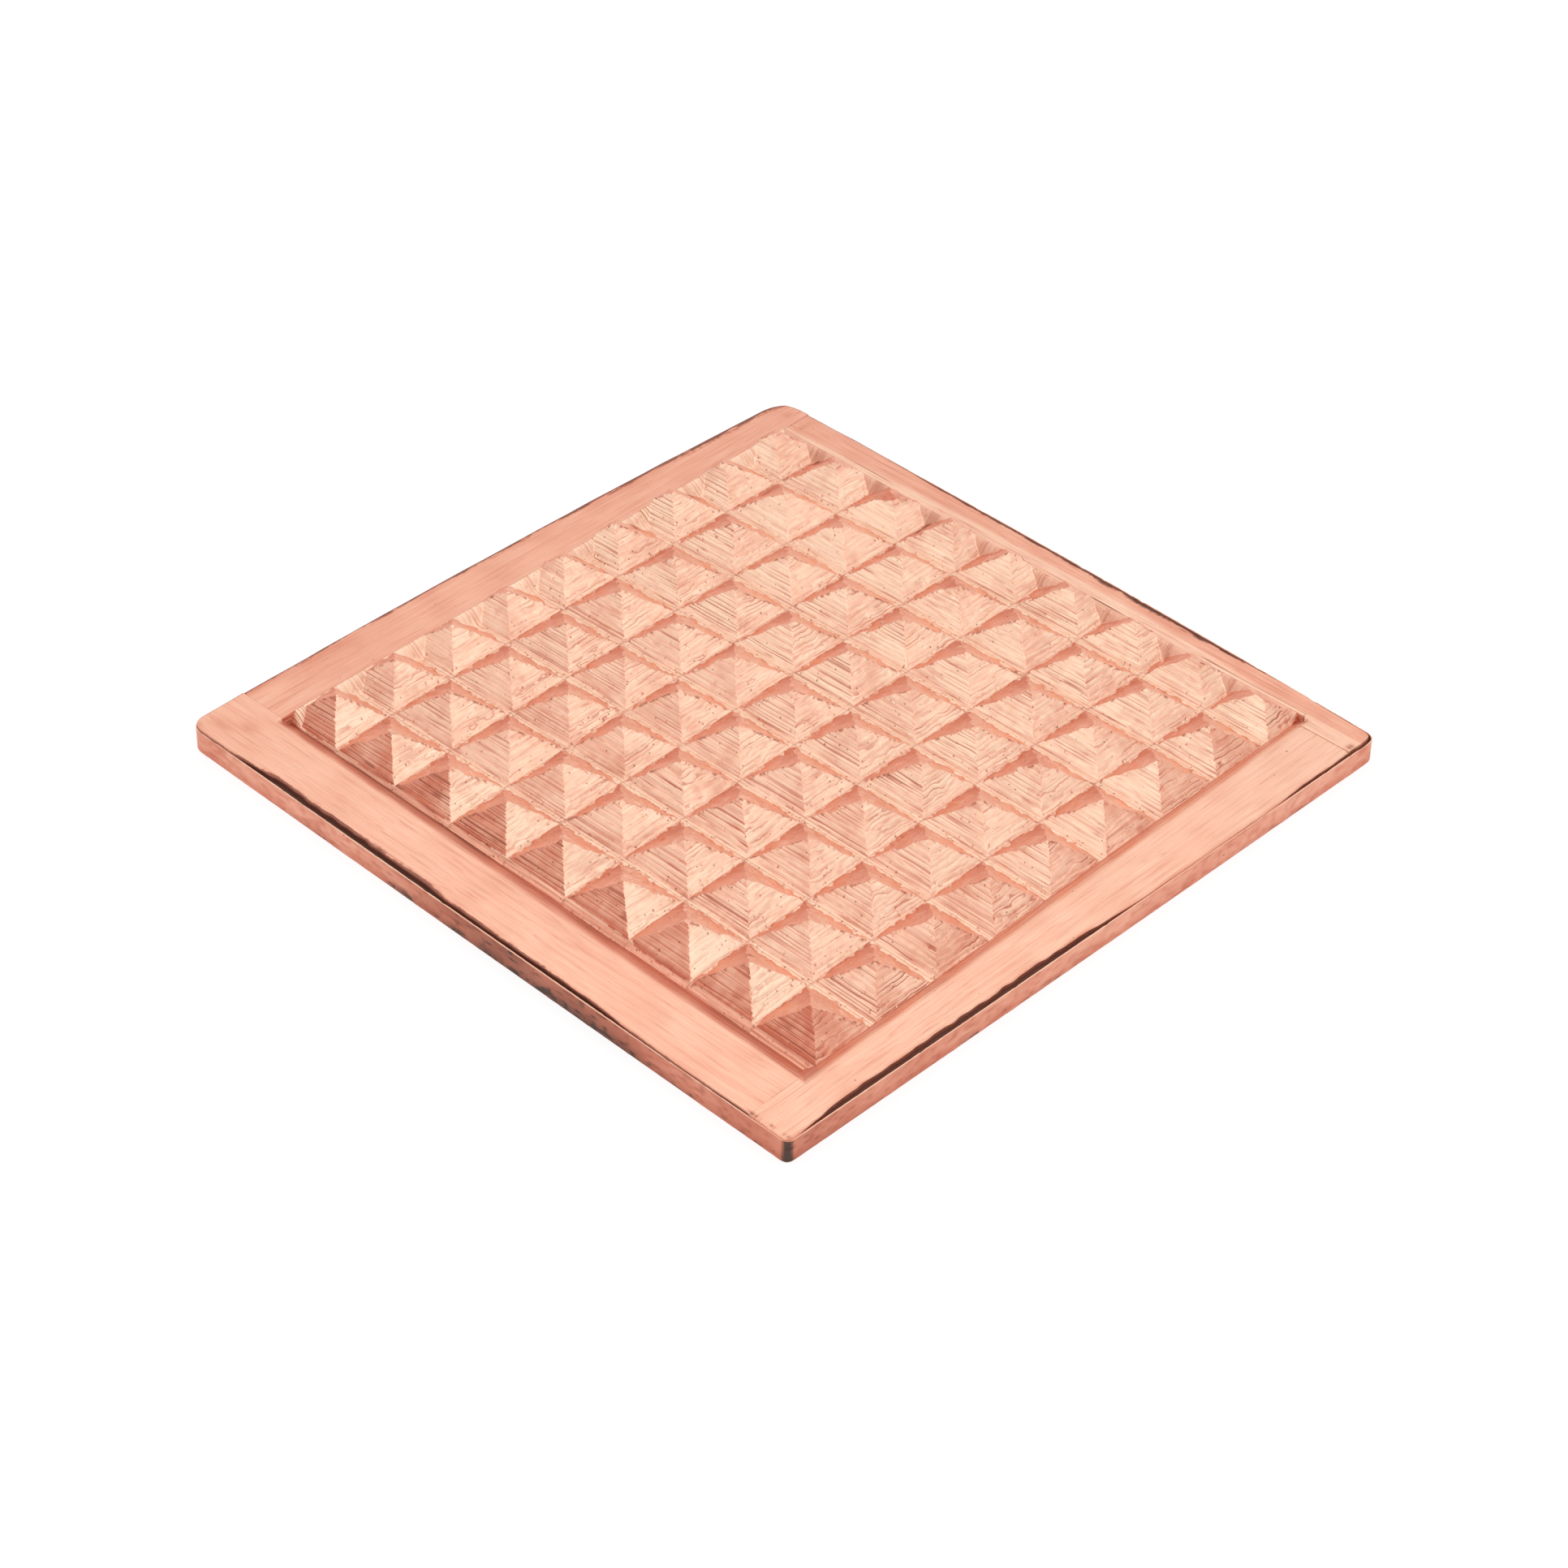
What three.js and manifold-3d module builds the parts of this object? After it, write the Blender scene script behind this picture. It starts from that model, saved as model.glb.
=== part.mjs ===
// Vastu pyramid plate in copper: a base with a square pocket, nine bars of nine pyramids standing side by
// side in the pocket, and four flat border strips laid round it like a pinwheel.
// Millimetres, +Z up. The underside lies on z = 0, with the origin at the middle of the plate's extent.
// X and Y run along the lines of pyramids. The plate's outline lies a little askew to them.

import * as THREE from 'three';
import { mergeVertices } from 'three/addons/utils/BufferGeometryUtils.js';
import Module from 'manifold-3d';

const wasm = await Module();
wasm.setup();

// Plate outline: how far it is turned, how far each side draws in towards its corners, and the radius of each
// corner. Its width and length follow from the field of pyramids, the moats and the border.
const outlineTurnDegrees = -1.2;
const frontBow = 0.05;
const rightBow = 0.3;
const backBow = 0.35;
const leftBow = 0.05;
const frontLeftRadius = 0.6;
const frontRightRadius = 0.9;
const backRightRadius = 2.2;
const backLeftRadius = 1.2;

// Heights: the whole border, the strip on top of it, and the broken edge round the base
const borderHeight = 1.76;
const stripThickness = 0.36;
const edgeBreak = 0.06;

// Border: how far the strips lie in from the plate's edge, their width on each side of the pocket, and the
// bevel along the inner edge of the right and back ones
const seamInset = 0.28;
const frontBorder = 3.2;
const rightBorder = 2.6;
const backBorder = 3.5;
const leftBorder = 3.93;
const innerBevel = 0.06;

// Pyramids: count each way, distance from one to the next, height over the grooves, and the flat floor of the
// grooves between the bars and between the pyramids of one bar
const pyramidsEachWay = 9;
const pitch = 4.95;
const pyramidHeight = 1.62;
const columnGap = 0.45;
const rowGap = 0.12;

// Grooves: their depth below the border's top, and how much deeper the pocket's floor lies
const grooveDepth = 0.76;
const pocketDrop = 0.38;

// Field in the pocket: the width of the moat between the border's edge and the foot of the first pyramids,
// and how much of the last ones the opposite wall cuts off
const leftMoat = 1.7;
const frontMoat = 1.3;
const rightTrim = 1.755;
const backTrim = 1.69;

// Places that follow from the sizes above
const seatHeight = borderHeight - stripThickness;
const grooveFloor = borderHeight - grooveDepth;
const pocketFloor = grooveFloor - pocketDrop;
const apexHeight = grooveFloor + pyramidHeight;
const fieldSide = pyramidsEachWay * pitch;

// How steep the faces of the pyramids stand, and how far the near flanks of the pocket run in down to a
// height. The same cutter made both, so the moats are V cuts.
const columnSlope = pyramidHeight / ((pitch - columnGap) / 2);
const rowSlope = pyramidHeight / ((pitch - rowGap) / 2);
const flankRun = (slope, height) => (borderHeight - height) / slope;
const pocketWidth = leftMoat - columnGap / 2 + fieldSide - rightTrim;
const pocketLength = frontMoat - rowGap / 2 + fieldSide - backTrim;
const halfWidth = (leftBorder + pocketWidth + rightBorder) / 2;
const halfLength = (frontBorder + pocketLength + backBorder) / 2;
const pocket = {
  left: leftBorder - halfWidth,
  right: halfWidth - rightBorder,
  front: frontBorder - halfLength,
  back: halfLength - backBorder,
};
const outlineTurn = THREE.MathUtils.degToRad(outlineTurnDegrees);

// A cutter reaches this far past what it cuts
const reach = halfWidth + halfLength;

function toSolid(geometry) {
  geometry.deleteAttribute('normal');
  geometry.deleteAttribute('uv');
  const merged = mergeVertices(geometry, 1e-5);
  const vertProperties = new Float32Array(merged.attributes.position.array);
  const triVerts = new Uint32Array(merged.index.array);
  return new wasm.Manifold(new wasm.Mesh({ numProp: 3, vertProperties, triVerts }));
}

function toGeometry(solid) {
  const mesh = solid.getMesh();
  const geometry = new THREE.BufferGeometry();
  geometry.setAttribute('position', new THREE.BufferAttribute(new Float32Array(mesh.vertProperties), 3));
  geometry.setIndex(new THREE.BufferAttribute(new Uint32Array(mesh.triVerts), 1));
  geometry.computeVertexNormals();
  return geometry;
}

// The plate's outline, drawn in by inset: four slightly bowed sides joined by round corners
function outlineShape(inset) {
  const halfX = halfWidth - inset;
  const halfY = halfLength - inset;
  const left = leftBow - halfX;
  const right = halfX - rightBow;
  const front = frontBow - halfY;
  const back = halfY - backBow;
  const shape = new THREE.Shape();
  shape.moveTo(left + frontLeftRadius, front);
  shape.quadraticCurveTo(0, -halfY - frontBow, right - frontRightRadius, front);
  shape.quadraticCurveTo(right, front, right, front + frontRightRadius);
  shape.quadraticCurveTo(halfX + rightBow, 0, right, back - backRightRadius);
  shape.quadraticCurveTo(right, back, right - backRightRadius, back);
  shape.quadraticCurveTo(0, halfY + backBow, left + backLeftRadius, back);
  shape.quadraticCurveTo(left, back, left, back - backLeftRadius);
  shape.quadraticCurveTo(-halfX - leftBow, 0, left, front + frontLeftRadius);
  shape.quadraticCurveTo(left, front, left + frontLeftRadius, front);
  return shape;
}

// A slab of the plate's outline between two heights, with its edges broken by bevel
function outlineSlab(inset, bottom, top, bevel) {
  const geometry = new THREE.ExtrudeGeometry(outlineShape(inset), {
    depth: top - bottom - 2 * bevel,
    curveSegments: 10,
    bevelThickness: bevel,
    bevelSize: bevel,
    bevelOffset: -bevel,
    bevelSegments: 1,
  });
  geometry.translate(0, 0, bottom + bevel);
  geometry.rotateZ(outlineTurn);
  return toSolid(geometry);
}

// A prism along Z over a rectangle in X and Y
function block(left, right, front, back, bottom, top) {
  const shape = new THREE.Shape();
  shape.moveTo(left, front);
  shape.lineTo(right, front);
  shape.lineTo(right, back);
  shape.lineTo(left, back);
  shape.closePath();
  const geometry = new THREE.ExtrudeGeometry(shape, { depth: top - bottom, bevelEnabled: false });
  geometry.translate(0, 0, bottom);
  return toSolid(geometry);
}

// A prism along Y whose section is a list of [x, z] points
function prismAlongY(section) {
  const shape = new THREE.Shape(section.map(([x, z]) => new THREE.Vector2(x, z)));
  const geometry = new THREE.ExtrudeGeometry(shape, { depth: 2 * reach, bevelEnabled: false });
  geometry.translate(0, 0, -reach);
  geometry.rotateX(Math.PI / 2);
  return toSolid(geometry);
}

// A prism along X whose section is a list of [y, z] points
function prismAlongX(section) {
  const shape = new THREE.Shape(section.map(([y, z]) => new THREE.Vector2(y, z)));
  const geometry = new THREE.ExtrudeGeometry(shape, { depth: 2 * reach, bevelEnabled: false });
  geometry.translate(0, 0, -reach);
  geometry.rotateY(Math.PI / 2);
  geometry.rotateX(Math.PI / 2);
  return toSolid(geometry);
}

// The section of the pocket from low to high: its low side slopes down like the pyramids' faces, and its high
// side stands upright and opens out by the inner bevel
function pocketSection(low, high, slope) {
  const bevelStart = borderHeight - innerBevel;
  const above = borderHeight + reach;
  return [
    [low + flankRun(slope, pocketFloor), pocketFloor],
    [high, pocketFloor],
    [high, bevelStart],
    [high + innerBevel, borderHeight],
    [high + innerBevel, above],
    [low, above],
    [low, borderHeight],
  ];
}

// The section across a run of ridges: on the low side a skirt that goes on down to the pocket's floor
// or an upright wall, then one peak after another with a flat groove floor between them
function ridgeSection(start, count, gap, skirt) {
  const halfBase = (pitch - gap) / 2;
  const skirtRun = (pocketDrop * halfBase) / pyramidHeight;
  const points = [];
  if (skirt) {
    points.push([start + gap / 2 - skirtRun, pocketFloor]);
  } else {
    points.push([start, pocketFloor], [start, grooveFloor]);
  }
  for (let n = 0; n < count; n += 1) {
    const middle = start + (n + 0.5) * pitch;
    const startsAtSkirt = skirt && n === 0;
    if (!startsAtSkirt) points.push([middle - halfBase, grooveFloor]);
    points.push([middle, apexHeight]);
    points.push([middle + halfBase, grooveFloor]);
  }
  const end = start + count * pitch;
  points.push([end, grooveFloor], [end, pocketFloor]);
  return points;
}

const opening = prismAlongY(pocketSection(pocket.left, pocket.right, columnSlope))
  .intersect(prismAlongX(pocketSection(pocket.front, pocket.back, rowSlope)));
const pocketBlock = block(pocket.left, pocket.right, pocket.front, pocket.back, pocketFloor, pocketFloor + reach);

function makeBase() {
  return outlineSlab(0, 0, seatHeight, edgeBreak).subtract(opening);
}

// Each strip runs past the pocket at one end and stops against the next strip at the other. The left and front
// ones reach in over their flank down to the seat.
const leftReach = pocket.left + flankRun(columnSlope, seatHeight);
const frontReach = pocket.front + flankRun(rowSlope, seatHeight);
const stripRegions = {
  border_strip_front: [-reach, pocket.right, -reach, frontReach],
  border_strip_left: [-reach, leftReach, frontReach, reach],
  border_strip_back: [leftReach, reach, pocket.back, reach],
  border_strip_right: [pocket.right, reach, -reach, pocket.back],
};

function makeStrips() {
  const ring = outlineSlab(seamInset, seatHeight, borderHeight, edgeBreak).subtract(opening);
  return Object.entries(stripRegions).map(([name, [left, right, front, back]]) => {
    const region = block(left, right, front, back, 0, reach);
    return [name, ring.intersect(region)];
  });
}

// The bars stand side by side from the left moat on, and are trimmed where they meet the pocket's flanks and
// walls
function makeBars() {
  const firstLeft = pocket.left + leftMoat - columnGap / 2;
  const firstFront = pocket.front + frontMoat - rowGap / 2;
  const rows = prismAlongX(ridgeSection(firstFront, pyramidsEachWay, rowGap, true));
  const bars = [];
  for (let n = 0; n < pyramidsEachWay; n += 1) {
    const ridge = prismAlongY(ridgeSection(firstLeft + n * pitch, 1, columnGap, n === 0));
    bars.push([`pyramid_bar_${n + 1}`, ridge.intersect(rows).intersect(pocketBlock).intersect(opening)]);
  }
  return bars;
}

function copper(color, roughness) {
  return new THREE.MeshStandardMaterial({ color, roughness, metalness: 0.9 });
}

function addPiece(group, name, solid, material) {
  const mesh = new THREE.Mesh(toGeometry(solid), material);
  mesh.name = name;
  group.add(mesh);
  return mesh;
}

const group = new THREE.Group();
const base = addPiece(group, 'base_plate', makeBase(), copper(0xcf8a70, 0.5));
for (const [name, solid] of makeStrips()) addPiece(group, name, solid, copper(0xfab798, 0.45));
for (const [name, solid] of makeBars()) addPiece(group, name, solid, copper(0xfbcba6, 0.5));

// The origin is the middle of the base's extent
base.geometry.computeBoundingBox();
const middle = base.geometry.boundingBox.getCenter(new THREE.Vector3());
group.position.set(-middle.x, -middle.y, 0);

export default group;
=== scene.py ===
# The looks of a copper vastu pyramid plate: a base with its side walls and pocket, four border strips, and
# nine bars of carved pyramids. Each stands in for one of the solids, in the same place.
# Lengths are millimetres until they reach a mesh. +X and +Y run along the lines of pyramids.

import math

import bmesh
import bpy
import numpy as np
from mathutils import Matrix, Vector


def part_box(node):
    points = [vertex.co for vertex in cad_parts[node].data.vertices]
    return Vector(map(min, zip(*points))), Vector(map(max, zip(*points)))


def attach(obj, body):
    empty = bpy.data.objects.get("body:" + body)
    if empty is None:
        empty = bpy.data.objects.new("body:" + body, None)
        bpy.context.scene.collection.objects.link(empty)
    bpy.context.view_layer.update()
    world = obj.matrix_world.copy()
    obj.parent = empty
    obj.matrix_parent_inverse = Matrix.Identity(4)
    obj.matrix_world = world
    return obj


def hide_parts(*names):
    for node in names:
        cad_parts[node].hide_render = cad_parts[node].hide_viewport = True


bl_info = {
    "name": "Copper pyramid plate",
    "version": (1, 0, 0),
    "blender": (4, 5, 0),
    "location": "3D View > Sidebar > Plate",
    "description": "Builds the carved and worn surfaces of a copper plate of nine by nine pyramids",
    "category": "Add Mesh",
}

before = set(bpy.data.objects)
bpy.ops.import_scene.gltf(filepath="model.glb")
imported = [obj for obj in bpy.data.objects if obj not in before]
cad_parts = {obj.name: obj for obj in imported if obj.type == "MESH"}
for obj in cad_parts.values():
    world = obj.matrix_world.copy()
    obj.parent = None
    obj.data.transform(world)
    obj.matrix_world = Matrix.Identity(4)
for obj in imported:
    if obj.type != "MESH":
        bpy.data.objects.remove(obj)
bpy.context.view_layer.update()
MM = 0.001


def node_box(name):
    """Lowest and highest corner of a solid, in millimetres."""
    low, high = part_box(name)
    return np.array(low) / MM, np.array(high) / MM


# Sizes that the solids give
COUNT = 9
BAR_NAMES = [f"pyramid_bar_{n + 1}" for n in range(COUNT)]
SECOND_BAR_LOW, SECOND_BAR_HIGH = node_box(BAR_NAMES[1])
PITCH = SECOND_BAR_HIGH[0] - SECOND_BAR_LOW[0]
FIELD_LEFT = SECOND_BAR_LOW[0] - PITCH
POCKET_FLOOR = SECOND_BAR_LOW[2]
APEX = SECOND_BAR_HIGH[2]
SEAT = node_box("base_plate")[1][2]
BORDER_TOP = node_box("border_strip_front")[1][2]

# Sizes of the carving, the same as in the solids
GROOVE_FLOOR = 1.0
COLUMN_GAP = 0.45
ROW_GAP = 0.12
BACK_TRIM = 1.69
FIELD_FRONT = SECOND_BAR_HIGH[1] + BACK_TRIM - COUNT * PITCH
HALF_X = (PITCH - COLUMN_GAP) / 2
HALF_Y = (PITCH - ROW_GAP) / 2
RISE = APEX - GROOVE_FLOOR
SLOPE_X = RISE / HALF_X
SLOPE_Y = RISE / HALF_Y

# Where the dark cut of a filed step lies in its run, from 0 to 1
CUT_PLACE = 0.3

# The field was cut by hand: how far its lines stray from an even lattice, in millimetres at 20 mm from the
# middle, and how far each groove strays by itself, from the left and from the front
STRAY_REACH = 20.0
SHIFT_X = 0.18
LEAN_X = -0.11
TWIST_X = -0.19
BOW_X = -0.25
LEAN_Y = 0.21
STRETCH_Y = 0.06
TWIST_Y = 0.10
BOW_Y = -0.15
DROOP_Y = -0.2
COLUMN_STRAY = (0.0, -0.05, 0.1, 0.05, -0.05, -0.05, 0.0, 0.1, -0.05, 0.0)
ROW_STRAY = (0.0, -0.05, -0.05, -0.05, 0.2, 0.15, -0.1, -0.15, 0.05, 0.0)

# The sides in order round the plate, anticlockwise from above, and which way the corner lies where each
# starts
SIDES = ("front", "right", "back", "left")
CORNER_WAYS = ((-1.0, -1.0), (1.0, -1.0), (1.0, 1.0), (-1.0, 1.0))

# The rim of the pocket at the border's top: how far each side stands from the middle at places along it, and
# how steep the pocket's wall goes down from there. The left and front walls are flanks of the moats' V cuts,
# and the right and back ones cut off the last pyramids.
RIM_PLACES = (-26.0, -21.5, -15.0, -10.0, -5.0, 11.0, 18.0, 26.0)
RIMS = {
    "front": (-22.22, -22.19, -22.15, -22.12, -22.09, -21.99, -21.95, -21.9),
    "right": (23.1, 23.08, 23.0, 23.02, 23.08, 23.2, 23.22, 23.25),
    "back": (22.05, 22.1, 22.2, 22.22, 22.2, 22.2, 22.14, 22.1),
    "left": (-21.77, -21.69, -21.58, -21.49, -21.4, -21.11, -20.99, -20.85),
}
WALL_SLOPE = {"front": SLOPE_Y, "right": 12.0, "back": 12.0, "left": SLOPE_X}
INWARD = {"front": 1, "right": -1, "back": -1, "left": 1}

# The last column is narrower towards the front: where its right faces would reach the grooves' floor, at
# places along it
LAST_FOOT_PLACES = (-26.0, -18.0, -13.0, -8.0, 26.0)
LAST_FOOT = (23.4, 23.8, 24.15, 24.45, 24.6)

# Burnt and dirty marks as (x, y, reach along x, reach along y, strength): in the field, and on the border
FIELD_MARKS = (
    (21.9, 8.45, 1.3, 0.30, 0.9),
    (17.7, 18.2, 0.9, 0.26, 0.62),
    (22.9, 13.3, 0.4, 0.3, 0.8),
    (22.6, 18.4, 0.7, 0.2, 0.85),
    (13.9, 21.7, 0.16, 0.8, 0.75),
    (8.75, 21.6, 0.16, 0.8, 0.8),
    (3.64, 21.9, 0.2, 0.5, 0.7),
    (13.5, 4.6, 0.5, 0.3, 0.7),
    (13.9, -1.6, 0.4, 0.25, 0.75),
    (-1.0, 3.0, 0.3, 0.2, 0.7),
    (-16.3, -12.9, 0.3, 0.3, 0.8),
    (18.6, 8.3, 0.5, 0.22, 0.75),
)
BORDER_MARKS = (
    (24.3, 21.3, 0.55, 0.22, 0.62),
    (24.6, 23.1, 0.5, 0.3, 0.4),
    (22.6, -25.2, 0.4, 0.25, 0.8),
    (-25.45, -21.9, 0.15, 0.5, 0.9),
    (-25.4, -23.2, 0.12, 0.3, 0.85),
    (-25.4, -24.3, 0.14, 0.3, 0.9),
    (-23.4, 24.2, 0.5, 1.0, 0.55),
    (-22.4, 22.8, 0.5, 0.6, 0.45),
    (-24.6, 25.2, 0.5, 0.4, 0.6),
)

# Patterns of smooth random values reach this far out from the middle
NOISE_REACH = 30.0

# What each vertex tells the material: its wear with painted shade and painted highlights, from 0 to 1, and
# the runs of filed steps up to it
WEAR_AND_LIGHT = ("tarnish", "grime", "polish", "turn", "lining")
LEVELS = ("side_level", "front_level")


def length(name, description, default, least):
    """A setting for a length, given in millimetres."""
    return bpy.props.FloatProperty(
        name=name, description=description, default=default * MM, min=least * MM, unit="LENGTH", precision=6)


def color(name, description, red, green, blue):
    """A setting for a colour."""
    return bpy.props.FloatVectorProperty(
        name=name, description=description, default=(red, green, blue, 1.0), subtype="COLOR", size=4, min=0.0,
        max=1.0)


class PlateSettings(bpy.types.PropertyGroup):
    """Sizes and colours of the plate's finish"""

    cell: length("Mesh cell", "Distance between the vertices of the carved bars", 0.055, 0.03)
    side_step: length("Left steps", "Height of the filed steps on the left faces", 0.15, 0.05)
    front_step: length("Front steps", "Height of the filed steps on the front faces", 0.19, 0.05)
    step_share: bpy.props.FloatProperty(
        name="Step strength", description="How far the faces follow their steps instead of a plane",
        default=0.55, min=0.0, max=1.0, subtype="FACTOR")
    pits: bpy.props.IntProperty(
        name="Pits", description="Number of small pits in the field", default=4200, min=0)
    seam: length("Seam width", "Widest opening between the border strips and the rim", 0.46, 0.05)
    lip: length("Rim height", "Height of the rim over the seat of the strips", 0.2, 0.0)
    # Light copper is also the colour of painted highlights and painted light on the faces turned to the lamp
    light_copper: color("Light copper", "Colour of the freshly cut faces", 1.0, 0.705, 0.52)
    plain_copper: color("Plain copper", "Colour of the rubbed border", 0.97, 0.515, 0.365)
    # Deep copper is also the colour of painted shade on the faces turned from the light and low in the moats
    deep_copper: color("Deep copper", "Colour of the tarnished hollows", 0.66, 0.20, 0.12)
    # The two soot colours paint shade into creases, moats and steep walls as well as dirt
    soot_and_shade: color("Soot and shade", "Colour of the dirt in creases and pits", 0.11, 0.08, 0.07)
    seam_soot_and_shade: color("Seam soot and shade", "Colour of the dirt on the base and in its seam", 0.15, 0.095, 0.078)


def settings():
    return bpy.context.scene.plate_settings


def smooth_step(low, high, value):
    """0 below low, 1 above high, and an even curve between."""
    t = np.clip((value - low) / (high - low), 0.0, 1.0)
    return t * t * (3.0 - 2.0 * t)


def bell(value, width):
    """1 where the value is 0, falling away evenly on both sides over about the given width."""
    return np.exp(-(value / width) ** 2)


def sample(table, across, along, ease):
    """Reads a table at places between its cells, with an even curve from cell to cell where ease is true."""
    across = np.clip(across, 0, table.shape[1] - 2.001)
    along = np.clip(along, 0, table.shape[0] - 2.001)
    i = across.astype(int)
    j = along.astype(int)
    fx = smooth_step(0.0, 1.0, across - i) if ease else across - i
    fy = smooth_step(0.0, 1.0, along - j) if ease else along - j
    near = table[j, i] * (1 - fx) + table[j, i + 1] * fx
    far = table[j + 1, i] * (1 - fx) + table[j + 1, i + 1] * fx
    return near * (1 - fy) + far * fy


def smooth_noise(seed, x, y, cell_x, cell_y):
    """Random values from -1 to 1 that change smoothly, over cell_x along x and cell_y along y."""
    columns = int(2 * NOISE_REACH / cell_x) + 3
    rows = int(2 * NOISE_REACH / cell_y) + 3
    table = np.random.default_rng(seed).uniform(-1.0, 1.0, (rows, columns))
    return sample(table, (x + NOISE_REACH) / cell_x, (y + NOISE_REACH) / cell_y, True)


def line_noise(seed, place, cell):
    """Random values from -1 to 1 that change smoothly along a line."""
    return smooth_noise(seed, place, np.zeros_like(place), cell, 1.0)


def stray(x, y):
    """How far the hand-cut field lies off its even lattice at a point."""
    a = x / STRAY_REACH
    b = y / STRAY_REACH
    dx = SHIFT_X + LEAN_X * b + TWIST_X * a * b + BOW_X * b * b
    dy = LEAN_Y * a + STRETCH_Y * b + TWIST_Y * a * b + BOW_Y * b * b + DROOP_Y * a * a
    lines = np.arange(COUNT + 1)
    dx = dx + np.interp((x - FIELD_LEFT) / PITCH, lines, COLUMN_STRAY)
    dy = dy + np.interp((y - FIELD_FRONT) / PITCH, lines, ROW_STRAY)
    return dx, dy


def marks_at(marks, x, y):
    """How dirty the given marks make each point, from 0 to 1."""
    dirt = np.zeros_like(x)
    for mark_x, mark_y, reach_x, reach_y, strength in marks:
        away = ((x - mark_x) / reach_x) ** 2 + ((y - mark_y) / reach_y) ** 2
        dirt = np.maximum(dirt, strength * np.exp(-away))
    return dirt


def axis_along(side):
    """0 where a side runs along x, and 1 where it runs along y."""
    return 0 if side in ("front", "back") else 1


def neighbours(side):
    """The sides before and after a side."""
    order = SIDES.index(side)
    return SIDES[order - 1], SIDES[(order + 1) % 4]


def rim(side, along, height=BORDER_TOP):
    """Where the pocket's wall stands on a side at a place along it, at a height."""
    run = (BORDER_TOP - height) / WALL_SLOPE[side]
    return np.interp(along, RIM_PLACES, RIMS[side]) + INWARD[side] * run


def wall_height(side, x, y):
    """Height of the plane that a side's pocket wall lies in, at points in millimetres."""
    across, along = (y, x) if axis_along(side) == 0 else (x, y)
    return BORDER_TOP - WALL_SLOPE[side] * INWARD[side] * (across - rim(side, along))


class Spots:
    """Points of the field, in millimetres, and what is known about each."""

    def __init__(self, x, y):
        self.x = x
        self.y = y
        dx, dy = stray(x, y)
        dx, dy = stray(x - dx, y - dy)
        self.u = (x - dx - FIELD_LEFT) / PITCH
        self.v = (y - dy - FIELD_FRONT) / PITCH
        self.column = np.clip(np.floor(self.u), 0, COUNT - 1).astype(int)
        self.row = np.clip(np.floor(self.v), 0, COUNT - 1).astype(int)
        self.pyramid = (self.column, self.row)
        self.du = (self.u - self.column - 0.5) * PITCH
        self.dv = (self.v - self.row - 0.5) * PITCH
        self.first_column = (self.column == 0).astype(float)
        self.first_row = (self.row == 0).astype(float)
        self.to_right = smooth_step(-8.0, 14.0, x)

    def noise(self, seed, cell_x, cell_y):
        return smooth_noise(seed, self.x, self.y, cell_x, cell_y)


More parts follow.
